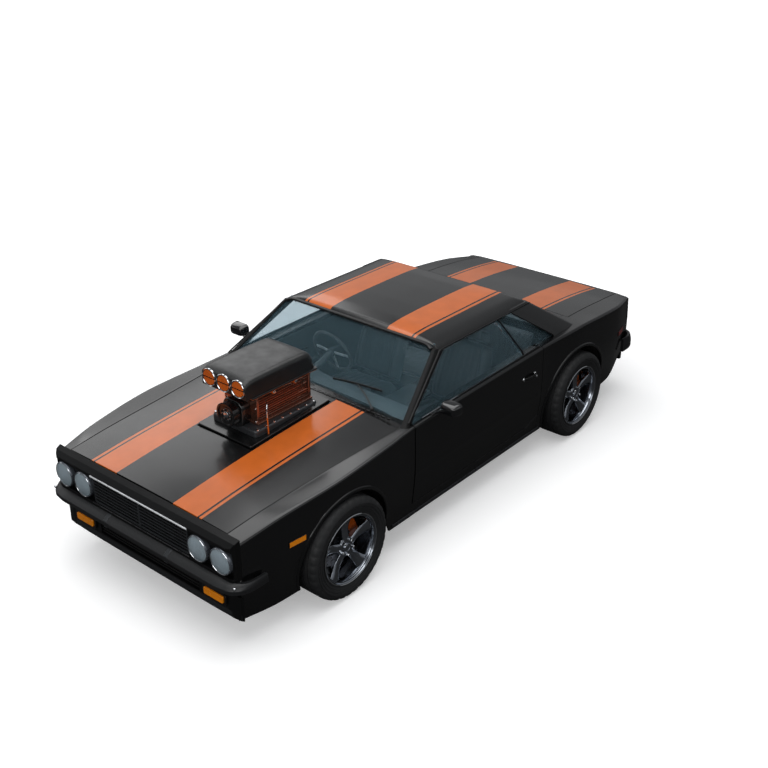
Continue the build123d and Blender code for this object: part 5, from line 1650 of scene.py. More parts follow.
# ---- blower -----------------------------------------------------------------------------
@dataclass
class Blower:
    """Plate, ribbed case, toothed pulley, scoop and its three butterflies."""

    plate_x: float = 0.252
    plate_y: Pair = (-1.585, -0.842)
    case_x: float = 0.15
    case_y: Pair = (-1.422, -0.921)
    case_z: Pair = (0.961, 1.19)
    lip_x: float = 0.212
    lip_y: Pair = (-1.505, -0.905)
    lip_z: Pair = (1.19, 1.206)
    pulley: Point = (0.0, -1.5, 1.04)
    pulley_radius: float = 0.085
    teeth: int = 40
    tooth_depth: float = 0.0035
    scoop_x: float = 0.205
    scoop_round: float = 0.038
    scoop_foot: float = 1.2045
    scoop_top: float = 1.3448
    scoop_side: tuple[Pair, ...] = (
        (-1.555, 1.318), (-1.535, 1.332), (-1.48, 1.34), (-1.2, 1.344), (-1.0, 1.341),
        (-0.964, 1.332), (-0.952, 1.304))
    bores: tuple[float, ...] = (-0.134, 0.0, 0.134)
    bore_z: float = 1.27
    bore_radius: float = 0.06

    def build(self) -> None:
        """Makes every piece of the blower."""
        self.plate()
        self.case()
        self.drive()
        self.scoop()
        self.butterflies()
        self.fittings()

    def plate_level(self, y: float) -> float:
        """Height of the plate's upper face at a place along the car."""
        return 0.893 + (y + 1.585) * 0.0606 + 0.014

    def plate(self) -> None:
        """The plate that fills the bonnet's opening, the manifold flange and its bolts."""
        y0, y1 = self.plate_y
        z0, z1 = self.plate_level(y0), self.plate_level(y1)
        corner = rounded(2 * self.plate_x, y1 - y0, 0.012, 5)
        y = corner[:, 1] + (y0 + y1) / 2
        z = z0 + (y - y0) / (y1 - y0) * (z1 - z0)
        outline = columns(corner[:, 0], y, z - 0.014)
        put("blower_plate_sheet", prism(outline, (0, 0, 0.014)), BODY_BLACK,
            bevel=0.002, replaces=("blower_plate",))
        foot = level(rounded(0.424, 0.582, 0.03, 6), -1.206, 0.905)
        put("manifold_flange", prism(foot, (0, 0, 0.0555)), FLANGE_GREY,
            bevel=0.014)
        bolts = [lathe([(0.0, 0.0), (0.0, 0.0105), (0.006, 0.0105), (0.0075, 0.008), (0.0075, 0.0)],
                       (0.199, y, 0.96), Along.Z, 6) for y in np.linspace(-1.47, -0.945, 8)]
        put("flange_bolts", joined(bolts).both_sides(), CHROME)

    def case(self) -> None:
        """The case: ribs along its sides, a flange at top and bottom, and end plates."""
        (y0, y1), (z0, z1), x = self.case_y, self.case_z, self.case_x
        z = np.linspace(z0 + 0.012, z1 - 0.012, 121)
        wave = 0.5 + 0.5 * np.cos((z - z0) * 2 * math.pi / 0.0165)
        side = x - 0.012 + 0.01 * np.clip(wave * 1.6 - 0.3, 0, 1)
        side = side - 0.014 * np.clip((z - z0 - 0.13) / 0.09, 0, 1) ** 2
        half = columns(side, z)
        outline = upright(np.vstack([half, half[::-1] * np.array([-1, 1])]), 0, y0 + 0.022, 0)
        # Case pieces in the alloy whose orange tint is a painted reflection.
        put("blower_case_ribs", prism(outline, (0, y1 - y0 - 0.044, 0)), ALLOY,
            sharp=30, replaces=("blower_case",))
        face = rounded(2 * x + 0.006, z1 - z0, 0.026, 6)
        plates = [prism(upright(face, 0, y, (z0 + z1) / 2), (0, 0.02, 0)) for y in (y0, y1 - 0.02)]
        put("blower_end_plates", joined(plates), ALLOY, bevel=0.003)
        foot = block((-x - 0.012, y0 - 0.004, z0 - 0.001), (x + 0.012, y1 + 0.004, z0 + 0.014))
        put("blower_foot", foot, ALLOY, bevel=0.003)
        head = block((-x + 0.004, y0 + 0.004, z1 - 0.016), (x - 0.004, y1 - 0.004, z1))
        put("blower_head", head, ALLOY, bevel=0.003)
        places = [(bx, bz) for bx in (-0.137, -0.07, 0.07, 0.137) for bz in (0.978, 1.173)]
        places += [(bx, 1.075) for bx in (-0.137, 0.137)]
        bolts = [lathe([(-0.008, 0.0), (-0.008, 0.006), (0.001, 0.008), (0.001, 0.0)], (bx, y0, bz),
                       Along.Y, 12) for bx, bz in places]
        put("end_plate_bolts", joined(bolts), CHROME)

    def toothed(self) -> Shell:
        """The pulley: a turned section whose face is cut by a groove for every tooth."""
        x, y, z = self.pulley
        r, steps = self.pulley_radius, self.teeth * 6
        profile = [(-0.001, r - 0.001), (-0.003, r - 0.0005), (-0.003, r - 0.004),
                   (-0.056, r - 0.004), (-0.056, r), (-0.059, r), (-0.06, r - 0.003),
                   (-0.0595, r - 0.014), (-0.052, r - 0.016), (-0.051, r - 0.03),
                   (-0.055, r - 0.032), (-0.055, r - 0.04), (-0.048, r - 0.042), (-0.047, 0.026),
                   (-0.01, 0.026), (-0.001, 0.052)]
        shell = lathe(profile, (x, y, z), Along.Y, steps, closed=True)
        grid = shell.points.reshape(len(profile), steps, 3)
        tooth = np.where(np.arange(steps) % 6 < 3, 0.0, -self.tooth_depth)
        arm = grid[2:4] - np.array([x, 0, z])
        length = np.linalg.norm(arm[..., [0, 2]], axis=-1, keepdims=True)
        grid[2:4][..., [0, 2]] += arm[..., [0, 2]] / length * tooth[None, :, None]
        shell.points = grid.reshape(-1, 3)
        return shell

    def drive(self) -> None:
        """Snout housing and neck, and the toothed pulley with its ring, hub and bolts."""
        x, y, z = self.pulley
        r = self.pulley_radius
        housing = upright(rounded(0.184, 0.196, 0.062, 9), 0, -1.497, z - 0.01)
        box = prism(housing, (0, 0.079, 0))
        put("blower_snout", box, SNOUT_DARK, bevel=0.01)
        neck = lathe([(-0.004, 0.0), (-0.004, 0.052), (0.04, 0.057), (0.04, 0.0)],
                     (0, y + 0.002, z), Along.Y, 48)
        put("blower_neck", neck, ALLOY, bevel=0.002)
        put("pulley_toothed", self.toothed(), SNOUT_DARK, sharp=30,
            replaces=("blower_pulley",))
        ring = lathe([(-0.059, r - 0.001), (-0.0605, r - 0.004), (-0.059, r - 0.007),
                      (-0.057, r - 0.004)], (x, y + 0.001, z), Along.Y, 80, closed=True)
        hub = lathe([(-0.046, 0.0), (-0.046, 0.024), (-0.056, 0.022), (-0.058, 0.016),
                     (-0.0585, 0.0)][::-1], (x, y, z), Along.Y, 40)
        put("pulley_ring", ring, CHROME)
        put("pulley_hub", hub, CHROME, bevel=0.001)
        bolt = lathe([(-0.057, 0.0), (-0.056, 0.005), (-0.05, 0.005), (-0.05, 0.0)],
                     (x + 0.036, y, z), Along.Y, 6)
        put("pulley_bolts", spun(bolt, 6, (0, 1, 0), (x, y, z)), CHROME)

    def scoop_body(self) -> Shell:
        """The scoop: half width shrinks near the top as a quarter circle of scoop_round.

        Across the top the height rises by 4 mm to the centre, as the square of the way in.
        """
        steps, rad = 60, self.scoop_round
        s, top = resampled(np.array(self.scoop_side), steps)
        eased = np.stack([np.convolve(np.pad(column, 4, mode="reflect", reflect_type="odd"),
                                      bell(9), "valid") for column in top.T], axis=-1)
        eased[0] = top[0]
        y, z = eased[:, :1], eased[:, 1:]
        turn = np.linspace(0, math.pi / 2, 9)
        share = np.linspace(1, 0, 9)[1:]
        x = np.concatenate([[self.scoop_x], self.scoop_x - rad * (1 - np.cos(turn)),
                            (self.scoop_x - rad) * share])
        crown = 0.004 * (1 - share**2) * np.clip(s / 0.05, 0, 1)[:, None]
        heights = np.hstack([np.full((steps, 1), self.scoop_foot),
                             z - rad * (1 - np.sin(turn)), z + crown])
        grid = full_width(columns(x, y, heights))
        grid[..., 2] = np.minimum(grid[..., 2], self.scoop_top)
        shell = sheet(grid)
        count = grid.shape[1]
        first, last = np.arange(steps) * count, np.arange(steps) * count + count - 1
        under = columns(first[:-1], first[1:], last[1:], last[:-1])
        shell.quads = np.vstack([shell.quads, under])
        shell.caps = [np.arange(count), np.arange(count)[::-1] + first[-1]]
        return shell

    def scoop(self) -> None:
        """Scoop body with rounded long edges, on its thin lip plate with an orange band under it
        that paints the stripes' reflection in the lip.
        """
        put("scoop_shell", self.scoop_body(), SCOOP_ALLOY, bevel=0.003, sharp=50,
            replaces=("blower_scoop",))
        (y0, y1), (z0, z1) = self.lip_y, self.lip_z
        lip, mid = rounded(2 * self.lip_x, y1 - y0, 0.014, 5), (y0 + y1) / 2
        plate = prism(level(lip, mid, z0 + 0.004), (0, 0, z1 - z0 - 0.004))
        put("scoop_lip_plate", plate, SCOOP_ALLOY, bevel=0.0015)
        # An orange band under the lip's edge: painted reflection of the bonnet's orange stripes.
        edge = level(lip * np.array([0.9945025, 1]), mid, z0 + 0.002)
        put("scoop_lip_reflection_band", prism(edge, (0, 0, 0.004)), ORANGE, bevel=0.0008)

    def butterflies(self) -> None:
        """Three mouths: a proud chrome ring, a dark disc that paints the shade in the throat, and a
        disc split by its shaft.
        """
        y, r, z = self.scoop_side[0][0], self.bore_radius, self.bore_z
        half = np.radians(np.linspace(3.2, 176.8, 40))
        upper = columns(np.cos(half), np.sin(half)) * (r - 0.008)
        rings, throat_shades, discs, shafts = [], [], [], []
        for x in self.bores:
            rings.append(lathe([(0.004, r + 0.002), (-0.006, r + 0.0025), (-0.0085, r),
                                (-0.006, r - 0.0035), (0.004, r - 0.004)], (x, y, z), Along.Y, 64,
                               closed=True))
            # A dark disc across each bore: painted shade inside the throat.
            throat_shades.append(lathe([(-0.0035, 0.0), (-0.0035, r - 0.0035), (0.002, r - 0.0035),
                                  (0.002, 0.0)], (x, y, z), Along.Y, 48))
            discs += [prism(upright(upper * np.array([1, way]), x, y - 0.0032, z), (0, -0.0025, 0))
                      for way in (1, -1)]
            shafts.append(rod((x - r + 0.004, y - 0.005, z), (x + r - 0.004, y - 0.005, z), 0.0032,
                              12))
        put("butterfly_rings", joined(rings), CHROME,
            replaces=("scoop_butterflies",))
        put("butterfly_throat_shades", joined(throat_shades), RUBBER)
        put("butterfly_discs", joined(discs), ORANGE, bevel=0.0006)
        put("butterfly_shafts", joined(shafts), PULLEY_ALLOY)

    def fittings(self) -> None:
        """Breather knobs, side caps and fuel rod."""
        knob = lathe([(0.0, 0.0), (0.0, 0.014), (0.022, 0.014), (0.027, 0.01), (0.028, 0.0)],
                     (0.182, -0.935, 1.206), Along.Z, 24)
        put("scoop_rear_knobs", knob.both_sides(), RUBBER, bevel=0.001)
        caps, tips = [], []
        for y in (-1.285, -1.085):
            caps.append(rod((0.146, y, 1.16), (0.176, y, 1.16), 0.017, 28))
            tips.append(rod((0.176, y, 1.16), (0.184, y, 1.16), 0.012, 24))
        put("case_caps", joined(caps).both_sides(), ORANGE, bevel=0.002)
        put("case_cap_tips", joined(tips).both_sides(), CHROME, bevel=0.002)
        run = rod((0.228, -1.402, 0.912), (0.232, -1.41, 1.04), 0.0048, 14)
        head = pipe(smooth_path([(0.232, -1.41, 1.04), (0.232, -1.411, 1.09), (0.222, -1.4, 1.118),
                                 (0.185, -1.365, 1.126)], 6), 0.0052, 14, (0, 1, 0))
        put("linkage_rod", run, ORANGE)
        put("linkage_head", head, CHROME, sharp=60)


# ---- cabin ------------------------------------------------------------------------------
@dataclass
class Cabin:
    """Seats, dashboard, steering wheel, cards, mirrors, wipers and handles."""

    seat_x: Pair = (0.155, 0.645)
    wheel_centre: Point = (-0.34, -0.165, 0.895)
    column_foot: Point = (-0.34, -0.47, 0.79)
    wheel_radius: float = 0.176
    grip: float = 0.014

    def build(self) -> None:
        """Makes the cabin's pieces."""
        for side in Side:
            self.front_seat(side)
            self.mirror(side)
            self.handle(side)
            self.door_card(side)
        self.rear_seat()
        self.steering_wheel()
        self.dashboard()
        self.rear_view_mirror()
        self.wipers()
        self.console()

    def cushion(self, width: float, path: Array, thick: Array, rib: int, swell: float) -> Shell:
        """A pleated cushion: a closed surface round a curved centre line.

        Across the width the face is crowned as 1 - |u|^4 and pressed in along each seam as a
        narrow bell; side bolsters rise where |u| passes 0.62.

        Args:
            width: full width.
            path: centre line as (y, z).
            thick: thickness at each point of the line.
            rib: number of seams along the cushion.
            swell: height of the bolsters.

        Returns:
            The cushion about x = 0.
        """
        rows, cols = len(path), 65
        u = np.linspace(-1, 1, cols)
        along = np.gradient(path, axis=0)
        along /= np.linalg.norm(along, axis=1, keepdims=True)
        out = columns(-along[:, 1], along[:, 0])
        t = np.linspace(0, 1, rows)
        ends = 1 - np.abs(2 * t - 1) ** 7
        crown = (1 - np.abs(u) ** 5) ** 0.6
        bolster = swell * np.clip((np.abs(u) - 0.6) / 0.14, 0, 1) * crown
        seams = np.zeros(cols)
        for place in np.linspace(-0.54, 0.54, rib):
            seams += np.exp(-((u - place) / 0.02) ** 2)
        seams += 1.6 * (np.exp(-((np.abs(u) - 0.62) / 0.022) ** 2))
        high = thick[:, None] * crown[None, :] * ends[:, None] ** 0.4
        face = high * 0.5 + bolster[None, :] * ends[:, None] ** 0.5
        face = face - 0.006 * seams[None, :] * np.clip(ends, 0, 1)[:, None]
        back = -high * 0.5

        def layer(offset: Array) -> Array:
            """The grid shifted from the centre line by an offset."""
            yz = path[:, None, :] + out[:, None, :] * offset[..., None]
            return columns(u * width / 2, yz[..., 0], yz[..., 1])

        return slab(layer(np.maximum(face, 0.001)), layer(np.minimum(back, -0.001)))

    def front_seat(self, side: Side) -> None:
        """One front seat: pleated base, tall back and rounded headrest."""
        (x0, x1) = self.seat_x
        mid, width = (x0 + x1) / 2, x1 - x0
        base = smooth_path([(-0.075, 0.43), (0.08, 0.44), (0.23, 0.425), (0.395, 0.412)], 9)
        thick = np.linspace(0.12, 0.105, len(base))
        seat = self.cushion(width - 0.01, base, thick, 6, 0.026).moved((mid, 0, 0))
        line = smooth_path([(0.42, 0.47), (0.468, 0.62), (0.53, 0.78), (0.59, 0.93)], 10)
        back_thick = np.linspace(0.115, 0.085, len(line))
        back = self.cushion(width - 0.014, line, back_thick, 6, 0.03)
        t = np.linspace(0, 1, len(line))
        narrow = 1 - 0.16 * np.clip(t - 0.62, 0, 1) / 0.38
        grid = back.points
        level = np.clip((grid[:, 2] - line[0, 1]) / (line[-1, 1] - line[0, 1]), 0, 1)
        grid[:, 0] *= np.interp(level, t, narrow)
        back = back.moved((mid, 0, 0))
        rest_line = smooth_path([(0.597, 0.948), (0.612, 0.99), (0.624, 1.03)], 7)
        rest = self.cushion(0.3, rest_line, np.full(len(rest_line), 0.078), 0, 0.0)
        rest = rest.moved((mid, 0, 0))
        for name, shell in (("base", seat), ("back", back), ("headrest", rest)):
            obj = put(f"front_seat_{name}_{side.word}", side.of(shell), LEATHER,
                      subdivide=1, sharp=180, replaces=("seats",)
                      if (name, side) == ("base", Side.LEFT) else ())
        tray = block((x0 + 0.015, -0.055, 0.27), (x1 - 0.015, 0.42, 0.375))
        put(f"front_seat_frame_{side.word}", side.of(tray), CABIN, bevel=0.012)
        posts = [rod((mid + dx, 0.585, 0.9), (mid + dx, 0.606, 0.975), 0.006, 12)
                 for dx in (-0.06, 0.06)]
        put(f"headrest_posts_{side.word}", side.of(joined(posts)), CHROME)

    def rear_seat(self) -> None:
        """Rear bench: two pleated bases and two backs on one plinth."""
        for side in Side:
            base = smooth_path([(0.668, 0.44), (0.8, 0.44), (0.93, 0.425), (1.035, 0.415)])
            seat = self.cushion(0.585, base, np.full(len(base), 0.105), 6, 0.012)
            line = smooth_path([(1.075, 0.5), (1.105, 0.62), (1.14, 0.74), (1.175, 0.85)])
            back = self.cushion(0.585, line, np.full(len(line), 0.095), 6, 0.012)
            for name, shell in (("base", seat), ("back", back)):
                obj = put(f"rear_seat_{name}_{side.word}", side.of(shell.moved((0.297, 0, 0))),
                          LEATHER, subdivide=1, sharp=180)
        put("rear_seat_plinth", block((-0.58, 0.665, 0.27), (0.58, 1.1, 0.395)), CARPET,
            bevel=0.01)

    def steering_wheel(self) -> None:
        """Rim, three bright spokes, boss and column."""
        centre, foot = np.array(self.wheel_centre), np.array(self.column_foot)
        axis = (centre - foot) / np.linalg.norm(centre - foot)
        across = np.array([1.0, 0.0, 0.0])
        upward = np.cross(across, axis)
        upward *= np.sign(upward[2])
        t = np.arange(72) * 2 * math.pi / 72
        way = np.cos(t)[:, None] * across + np.sin(t)[:, None] * upward
        ring = centre + self.wheel_radius * way
        put("steering_rim", swept(ring, circle(self.grip, 16), tuple(axis), ring=True), LEATHER,
            replaces=("steering_wheel",))
        spokes = []
        for angle in np.radians((0, 180, 270)):
            way = math.cos(angle) * across + math.sin(angle) * upward
            tip = centre + (self.wheel_radius - 0.006) * way
            path = np.linspace(centre - axis * 0.012, tip, 6)
            spokes.append(swept(path, rounded(0.026, 0.005, 0.002, 3), tuple(axis)))
        # Bright spokes: their glint is painted in as near-white colour.
        put("steering_spokes", joined(spokes), GLINT_PAINTED_STRIP, bevel=0.001)
        put("steering_boss",
            rod(tuple(centre - axis * 0.03), tuple(centre + axis * 0.006), 0.034, 36, 0.028), CABIN,
            bevel=0.004)
        put("steering_column", rod(self.column_foot, tuple(centre - axis * 0.028), 0.026, 24),
            CABIN, bevel=0.003)

    def dashboard(self) -> None:
        """The frame's dashboard with a padded top and dials."""
        dress("dashboard", CABIN)
        x = np.linspace(-0.775, 0.775, 32)
        top = smooth_path([(-0.69, 0.8975), (-0.6, 0.9035), (-0.5, 0.886), (-0.44, 0.858)])
        grid = columns(x[:, None], top[:, 0], top[:, 1])
        cowl = 0.028 * np.exp(-((x + 0.34) / 0.15) ** 4)
        grid[..., 2] += cowl[:, None] * np.sin(np.linspace(0.2, 1, len(top)) * 2.2)[None, :]
        put("dash_pad", slab(grid, grid - np.array([0, 0, 0.012])), CABIN,
            bevel=0.004)
        y, z = -0.4385, 0.812
        dials, rims = [], []
        for cx, r in ((-0.43, 0.046), (-0.25, 0.046), (-0.12, 0.026), (-0.05, 0.026),
                      (0.02, 0.026)):
            dials.append(lathe([(-0.004, 0.0), (-0.004, r), (0.003, r), (0.003, 0.0)], (cx, y, z),
                               Along.Y, 32))
            rims.append(lathe([(-0.002, r), (0.006, r), (0.007, r + 0.003), (-0.002, r + 0.004)],
                              (cx, y, z), Along.Y, 32, closed=True))
        put("dash_dials", joined(dials), RUBBER)
        put("dash_dial_rims", joined(rims), CHROME)

    def console(self) -> None:
        """Tunnel cover with the gear lever, and carpets."""
        outline = np.array([(0.118, 0, 0.4345), (0.1, 0, 0.452), (-0.1, 0, 0.452),
                            (-0.118, 0, 0.4345)]) + np.array([0, -0.42, 0])
        put("tunnel_cover", prism(outline, (0, 0.9, 0)), CABIN, bevel=0.008)
        lever = smooth_path([(-0.01, -0.09, 0.45), (-0.01, -0.105, 0.54), (-0.01, -0.08, 0.625)], 8)
        put("gear_lever", pipe(lever, 0.006, 14, (1, 0, 0)), CHROME)
        knob = lathe([(-0.02, 0.0), (-0.017, 0.012), (-0.008, 0.019), (0.004, 0.021),
                      (0.014, 0.015), (0.019, 0.0)], (-0.01, -0.078, 0.64), Along.Z, 28)
        put("gear_knob", knob, RUBBER)
        mats = [block((0.165, -0.64, 0.2685), (0.64, -0.14, 0.2765)),
                block((0.165, 0.48, 0.2685), (0.56, 0.655, 0.2765))]
        put("floor_mats", joined(mats).both_sides(), CARPET, bevel=0.003)
        pedals = [block((-0.455, -0.64, 0.42), (-0.405, -0.622, 0.5)),
                  block((-0.375, -0.64, 0.42), (-0.325, -0.622, 0.5)),
                  block((-0.285, -0.65, 0.38), (-0.245, -0.632, 0.5))]
        arms = [rod((x, -0.7, 0.6), (x, -0.634, 0.48), 0.006, 10) for x in (-0.43, -0.35, -0.265)]
        put("pedals", joined(pedals), RUBBER, bevel=0.003)
        put("pedal_arms", joined(arms), AXLE_STEEL)

    def door_card(self, side: Side) -> None:
        """Trim inside each door: padded card, armrest and pull."""
        body = f"{side.word}_door_body"
        card = block((0.786, -0.64, 0.345), (0.7945, 0.74, 0.9))
        put(f"door_card_{side.word}", side.of(card), CABIN, body, bevel=0.006)
        arm = block((0.742, -0.06, 0.6), (0.788, 0.42, 0.64))
        put(f"armrest_{side.word}", side.of(arm), CABIN, body, bevel=0.014)
        pull = rod((0.782, -0.12, 0.745), (0.766, -0.12, 0.745), 0.016, 24)
        lever = swept(np.array([(0.768, -0.12, 0.745), (0.768, -0.06, 0.741), (0.768, 0.0, 0.742)]),
                      rounded(0.008, 0.016, 0.003, 3))
        put(f"door_pull_{side.word}", side.of(joined([pull, lever])), CHROME, body,
            bevel=0.001)

    def mirror(self, side: Side) -> None:
        """Door mirror: rounded head on a short stalk, with its glass facing back."""
        body = f"{side.word}_door_body"
        y = np.linspace(-0.535, -0.456, 12)
        t = (y - y[0]) / (y[-1] - y[0])
        size = 0.55 + 0.45 * np.sqrt(np.clip(1 - (1 - t) ** 2.4, 0, 1))
        path = columns(1.0125, y, 0.995)
        head = swept(path, rounded(0.15, 0.088, 0.03, 8), scale=size)
        put(f"mirror_head_{side.word}", side.of(head), GLOSS_BLACK, body,
            bevel=0.003, replaces=(f"mirror_{side.word}",))
        face = upright(rounded(0.134, 0.072, 0.024, 8), 1.0125, -0.4568, 0.995)
        glass = prism(face, (0, 0.0014, 0))
        put(f"mirror_glass_{side.word}", side.of(glass), CHROME, body)
        stalk = smooth_path([(0.89, -0.495, 0.928), (0.93, -0.497, 0.946), (0.985, -0.497, 0.984)],
                            7)
        put(f"mirror_stalk_{side.word}", side.of(swept(stalk, rounded(0.026, 0.016, 0.007, 5))),
            BODY_BLACK, body)
        foot = block((0.87, -0.535, 0.916), (0.902, -0.455, 0.934))
        put(f"mirror_foot_{side.word}", side.of(foot), BODY_BLACK, body, bevel=0.006)

    def handle(self, side: Side) -> None:
        """Door handle: a dark flat pull with bright ends, and a lock."""
        body = f"{side.word}_door_body"
        lines = BodyLines()
        y = np.linspace(0.565, 0.705, 14)
        z = np.full(14, 0.772)
        x = lines.side_x(y, z)
        arc = 0.02 * np.sin(np.linspace(0, 1, 14) * math.pi) ** 0.5
        pull = columns(x + 0.003 + arc, y, z)
        put(f"door_handle_{side.word}", side.of(swept(pull, rounded(0.007, 0.02, 0.003, 4))),
            TRIM_BLACK, body)
        ends = [lathe([(-0.001, 0.0), (-0.001, 0.014), (0.006, 0.0125), (0.0075, 0.0)],
                      (float(lines.side_x(np.array([c]), np.array([0.772]))[0]) + 0.0015, c, 0.772),
                      Along.X, 24) for c in (0.56, 0.71)]
        put(f"handle_ends_{side.word}", side.of(joined(ends)), CHROME, body)
        lock = lathe([(-0.001, 0.0), (-0.001, 0.01), (0.005, 0.009), (0.006, 0.0)],
                     (float(lines.side_x(np.array([0.735]), np.array([0.74]))[0]) + 0.0015, 0.735,
                      0.74), Along.X, 20)
        put(f"door_lock_{side.word}", side.of(lock), CHROME, body)

    def rear_view_mirror(self) -> None:
        """Mirror inside the windscreen."""
        shape = upright(rounded(0.23, 0.056, 0.022, 7), 0, -0.15, 1.215)
        body = prism(shape, (0, 0.02, 0))
        inner = upright(rounded(0.216, 0.044, 0.018, 7), 0, -0.1302, 1.215)
        glass = prism(inner, (0, 0.0012, 0))
        put("cabin_mirror", body, CABIN, bevel=0.006)
        put("cabin_mirror_glass", glass, CHROME)
        put("cabin_mirror_stem", rod((0, -0.142, 1.238), (0, -0.165, 1.292), 0.006, 12), CHROME)

    def wipers(self) -> None:
        """Two parked wipers: pivot, arm and blade."""
        for index, shift in enumerate((0.0, -0.64)):
            pivot = lathe([(-0.012, 0.0), (-0.012, 0.013), (0.008, 0.012), (0.012, 0.008),
                           (0.013, 0.0)], (0.56 + shift, -0.757, 0.945), Along.Z, 24)
            arm = smooth_path([(0.56 + shift, -0.757, 0.951), (0.45 + shift, -0.7, 0.995),
                               (0.335 + shift, -0.65, 1.022)], 8)
            blade = smooth_path([(0.125 + shift, -0.6685, 1.0055), (0.335 + shift, -0.648, 1.0225),
                                 (0.545 + shift, -0.6345, 1.029)], 8)
            shell = joined([pivot, swept(arm, rounded(0.012, 0.006, 0.002, 3)),
                            swept(blade, rounded(0.007, 0.015, 0.002, 3))])
            put(f"wiper_{index + 1}", shell, TRIM_BLACK)


# ---- underbody and stage ------------------------------------------------------------------
@dataclass
class Underbody:
    """The frame's own underbody pieces, each in its finish, and what fills the gaps."""

    def build(self) -> None:
        """Dresses the carried-over pieces."""
        pairs = (("floor", UNDERSIDE), ("firewall", UNDERSIDE), ("wheel_liners", UNDERSIDE),
                 ("front_subframe", UNDERSIDE), ("engine", IRON), ("exhaust", EXHAUST_STEEL),
                 ("fuel_tank", TANK_STEEL), ("rear_axle", AXLE_STEEL),
                 ("leaf_springs", SPRING_STEEL), ("radiator_support", UNDERSIDE))
        for node, finish in pairs:
            dress(node, finish)
        self.shields()
        self.markers()

    def shields(self) -> None:
        """Inner wings beside the engine, and the plates that close the arches' rear ends."""
        outline = np.array([(0.46, -1.8, 0.64), (0.46, -1.74, 0.79), (0.46, -1.12, 0.8),
                            (0.46, -1.06, 0.64)])
        put("inner_wings", prism(outline, (0.006, 0, 0)).both_sides(), UNDERSIDE,
            bevel=0.002)
        outline = np.array([(0.6, -0.99, 0.232), (0.6, -0.925, 0.232), (0.6, -0.925, 0.33),
                            (0.6, -0.983, 0.33)])
        put("arch_end_plates", prism(outline, (0.23, 0, 0)).both_sides(), UNDERSIDE,
            bevel=0.002)

    def markers(self) -> None:
        """Amber and red markers on the sides."""
        lines = BodyLines()
        for y0, y1, z0, z1, finish, slot, name in (
                (-1.915, -1.785, 0.6, 0.64, AMBER, "orange", "front"),
                (1.995, 2.125, 0.63, 0.67, RED_LENS, "red_lens", "rear")):
            y = np.linspace(y0, y1, 9)
            z = np.linspace(z0, z1, 7)
            yy, zz = np.meshgrid(y, z, indexing="ij")
            x = lines.side_x(yy.reshape(-1), zz.reshape(-1)).reshape(yy.shape)
            grid = columns(x + 0.0045, yy, zz)
            inner = grid - np.array([0.006, 0, 0])
            put(f"{name}_markers", slab(grid, inner).both_sides(), finish, bevel=0.0015)
            ring = np.vstack([grid[:, 0], grid[-1, 1:], grid[-2::-1, -1], grid[0, -2:0:-1]])
            ring = ring - np.array([0.0015, 0, 0])
            put(f"{name}_marker_rims",
                swept(ring, rounded(0.004, 0.005, 0.0015, 3), (1, 0, 0), ring=True).both_sides(),
                TRIM_BLACK)


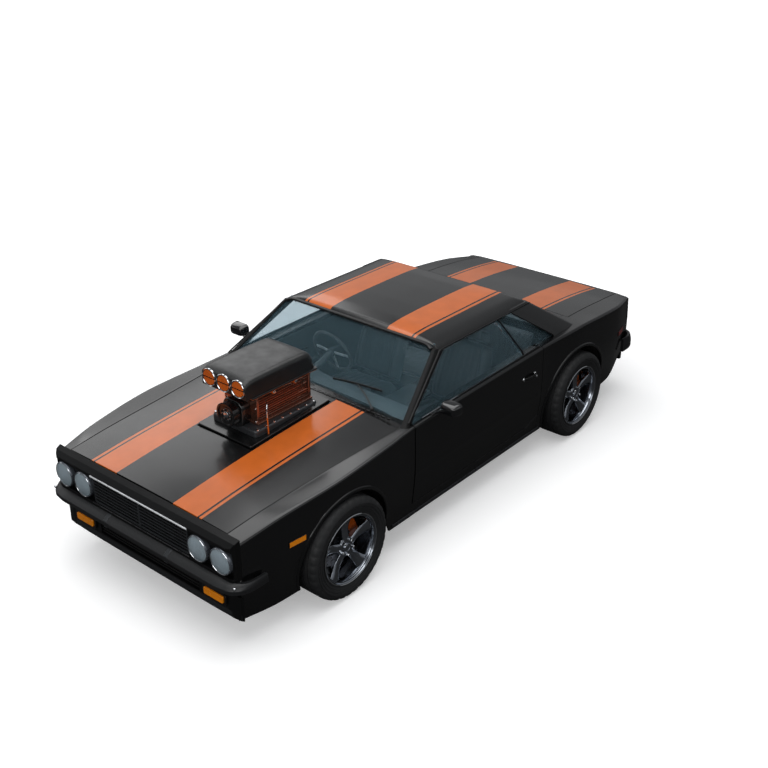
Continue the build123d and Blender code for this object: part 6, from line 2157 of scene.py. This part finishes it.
@dataclass
class Studio:
    """Pale floor, even soft light and the camera."""

    eye: Point = (4.793, -5.666, 4.406)
    lens: float = 51.384
    azimuth: float = 40.07187
    elevation: float = 26.7777
    roll: float = -0.076
    floor: Colour = (0.93, 0.93, 0.93)
    bounce: Colour = (0.05, 0.05, 0.05)
    fade: Pair = (2.6, 6.5)
    least_glow: float = 0.3

    def build(self) -> None:
        """Makes the floor, the lights, the world and the camera."""
        self.ground()
        self.lights()
        self.world()
        self.camera()

    def ground(self) -> None:
        """A wide pale floor that takes the car's shadow and fades to white around it.

        Seen by the camera it is pale and, past a few metres, gives off white light itself; to
        the light that bounces off it, it is dark, so the car's sides keep their depth.
        """
        reach, drop = 30.0, -0.0005
        mesh = bpy.data.meshes.new("studio_floor")
        corner = [(x * reach, y * reach, drop) for x, y in ((-1, -1), (1, -1), (1, 1), (-1, 1))]
        mesh.from_pydata(corner, [], [(0, 1, 2, 3)])
        mat = bpy.data.materials.new("studio_floor")
        mat.use_nodes = True
        nt = mat.node_tree
        nt.nodes.clear()
        near, far = self.fade
        where = add_node(nt, "TexCoord").outputs["Object"]
        away = add_node(nt, "VectorMath", {0: where}, operation="LENGTH").outputs["Value"]
        fade = add_node(nt, "MapRange", {"Value": away, "From Min": near, "From Max": far,
                                         "To Min": self.least_glow, "To Max": 1.0},
                        interpolation_type="SMOOTHSTEP")
        pale = add_node(nt, "BsdfDiffuse", {"Color": (*self.floor, 1.0)})
        glow = add_node(nt, "Emission", {"Strength": fade.outputs["Result"]})
        path = add_node(nt, "LightPath").outputs
        mix = add_node(nt, "MixShader", {
            "Fac": sum_of(nt, "MAXIMUM", path["Is Camera Ray"], path["Is Transmission Ray"]),
            1: add_node(nt, "BsdfDiffuse", {"Color": (*self.bounce, 1.0)}),
            2: add_node(nt, "AddShader", {0: pale, 1: glow})})
        add_node(nt, "OutputMaterial", {"Surface": mix})
        mesh.materials.append(mat)
        linked("studio_floor", mesh)

    def lights(self) -> None:
        """Large soft panels over and round the car."""
        rows = (("overhead", (0.2, -0.7, 6.5), (0, -0.2, 0.5), 7.0, 9.0, 405.0),
                ("front", (2.4, -8.5, 3.6), (0, -0.8, 0.6), 6.0, 3.0, 150.0),
                ("left", (8.5, 1.0, 4.8), (0, 0, 0.6), 8.0, 3.0, 45.0),
                ("right", (-7.5, -2.0, 3.5), (0, 0, 0.6), 8.0, 3.0, 60.0),
                ("high_back", (-7.6, 3.2, 6.1), (0, -1.6, 0.9), 5.5, 3.6, 92.0),
                ("left_front", (7.5, -5.5, 3.2), (0.6, -1.6, 0.5), 4.0, 3.0, 42.0),
                ("back", (-5.4, 7.6, 4.6), (0, 0, 0.9), 9.0, 4.2, 24.0))
        for name, place, aim, wide, tall, power in rows:
            data = bpy.data.lights.new(name, "AREA")
            data.shape = "RECTANGLE"
            data.size, data.size_y, data.energy = wide, tall, power
            obj = linked(name, data)
            obj.location = place
            obj.rotation_euler = toward_angles(np.array(place), np.array(aim))
            obj.visible_camera = False

    def world(self) -> None:
        """Soft grey surroundings, plain white where the camera sees them."""
        world = bpy.data.worlds.new("studio")
        bpy.context.scene.world = world
        world.use_nodes = True
        nt = world.node_tree
        nt.nodes.clear()
        soft = add_node(nt, "Background", {"Color": (0.8, 0.82, 0.85, 1.0), "Strength": 0.3})
        white = add_node(nt, "Background", {"Color": (1.0, 1.0, 1.0, 1.0), "Strength": 1.0})
        seen = add_node(nt, "LightPath").outputs["Is Camera Ray"]
        mix = add_node(nt, "MixShader", {0: seen, 1: soft, 2: white})
        add_node(nt, "OutputWorld", {"Surface": mix})

    def camera(self) -> None:
        """The camera: its back vector from azimuth and elevation, turned by the roll."""
        az, el, roll = (math.radians(v) for v in (self.azimuth, self.elevation, self.roll))
        right = np.array([math.cos(az), math.sin(az), 0.0])
        back = np.array([math.sin(az) * math.cos(el), -math.cos(az) * math.cos(el), math.sin(el)])
        up = np.cross(back, right)
        right2 = math.cos(roll) * right + math.sin(roll) * up
        up2 = -math.sin(roll) * right + math.cos(roll) * up
        data = bpy.data.cameras.new("studio_camera")
        data.sensor_width = 36.0
        data.lens = self.lens
        data.clip_end = 200.0
        obj = linked("studio_camera", data)
        matrix = np.eye(4)
        matrix[:3, 0], matrix[:3, 1], matrix[:3, 2], matrix[:3, 3] = right2, up2, back, self.eye
        obj.matrix_world = Matrix(matrix.tolist())
        bpy.context.scene.camera = obj


def toward_angles(place: Array, aim: Array) -> Point:
    """Turns that point a light's -Z from a place at an aim: tilt from the way down, then
    heading round the vertical."""
    way = aim - place
    flat = math.hypot(way[0], way[1])
    return math.atan2(flat, -way[2]), 0.0, math.atan2(-way[0], way[1])


def main() -> None:
    """Builds the car and the studio."""
    logging.basicConfig(level=logging.INFO, format="%(message)s")
    bpy.context.scene.view_settings.view_transform = "Standard"
    Bodywork().build()
    Glasshouse().build()
    Wheels().build()
    Nose().build()
    Tail().build()
    Blower().build()
    Cabin().build()
    Underbody().build()
    Studio().build()


if __name__ == "__main__":
    main()
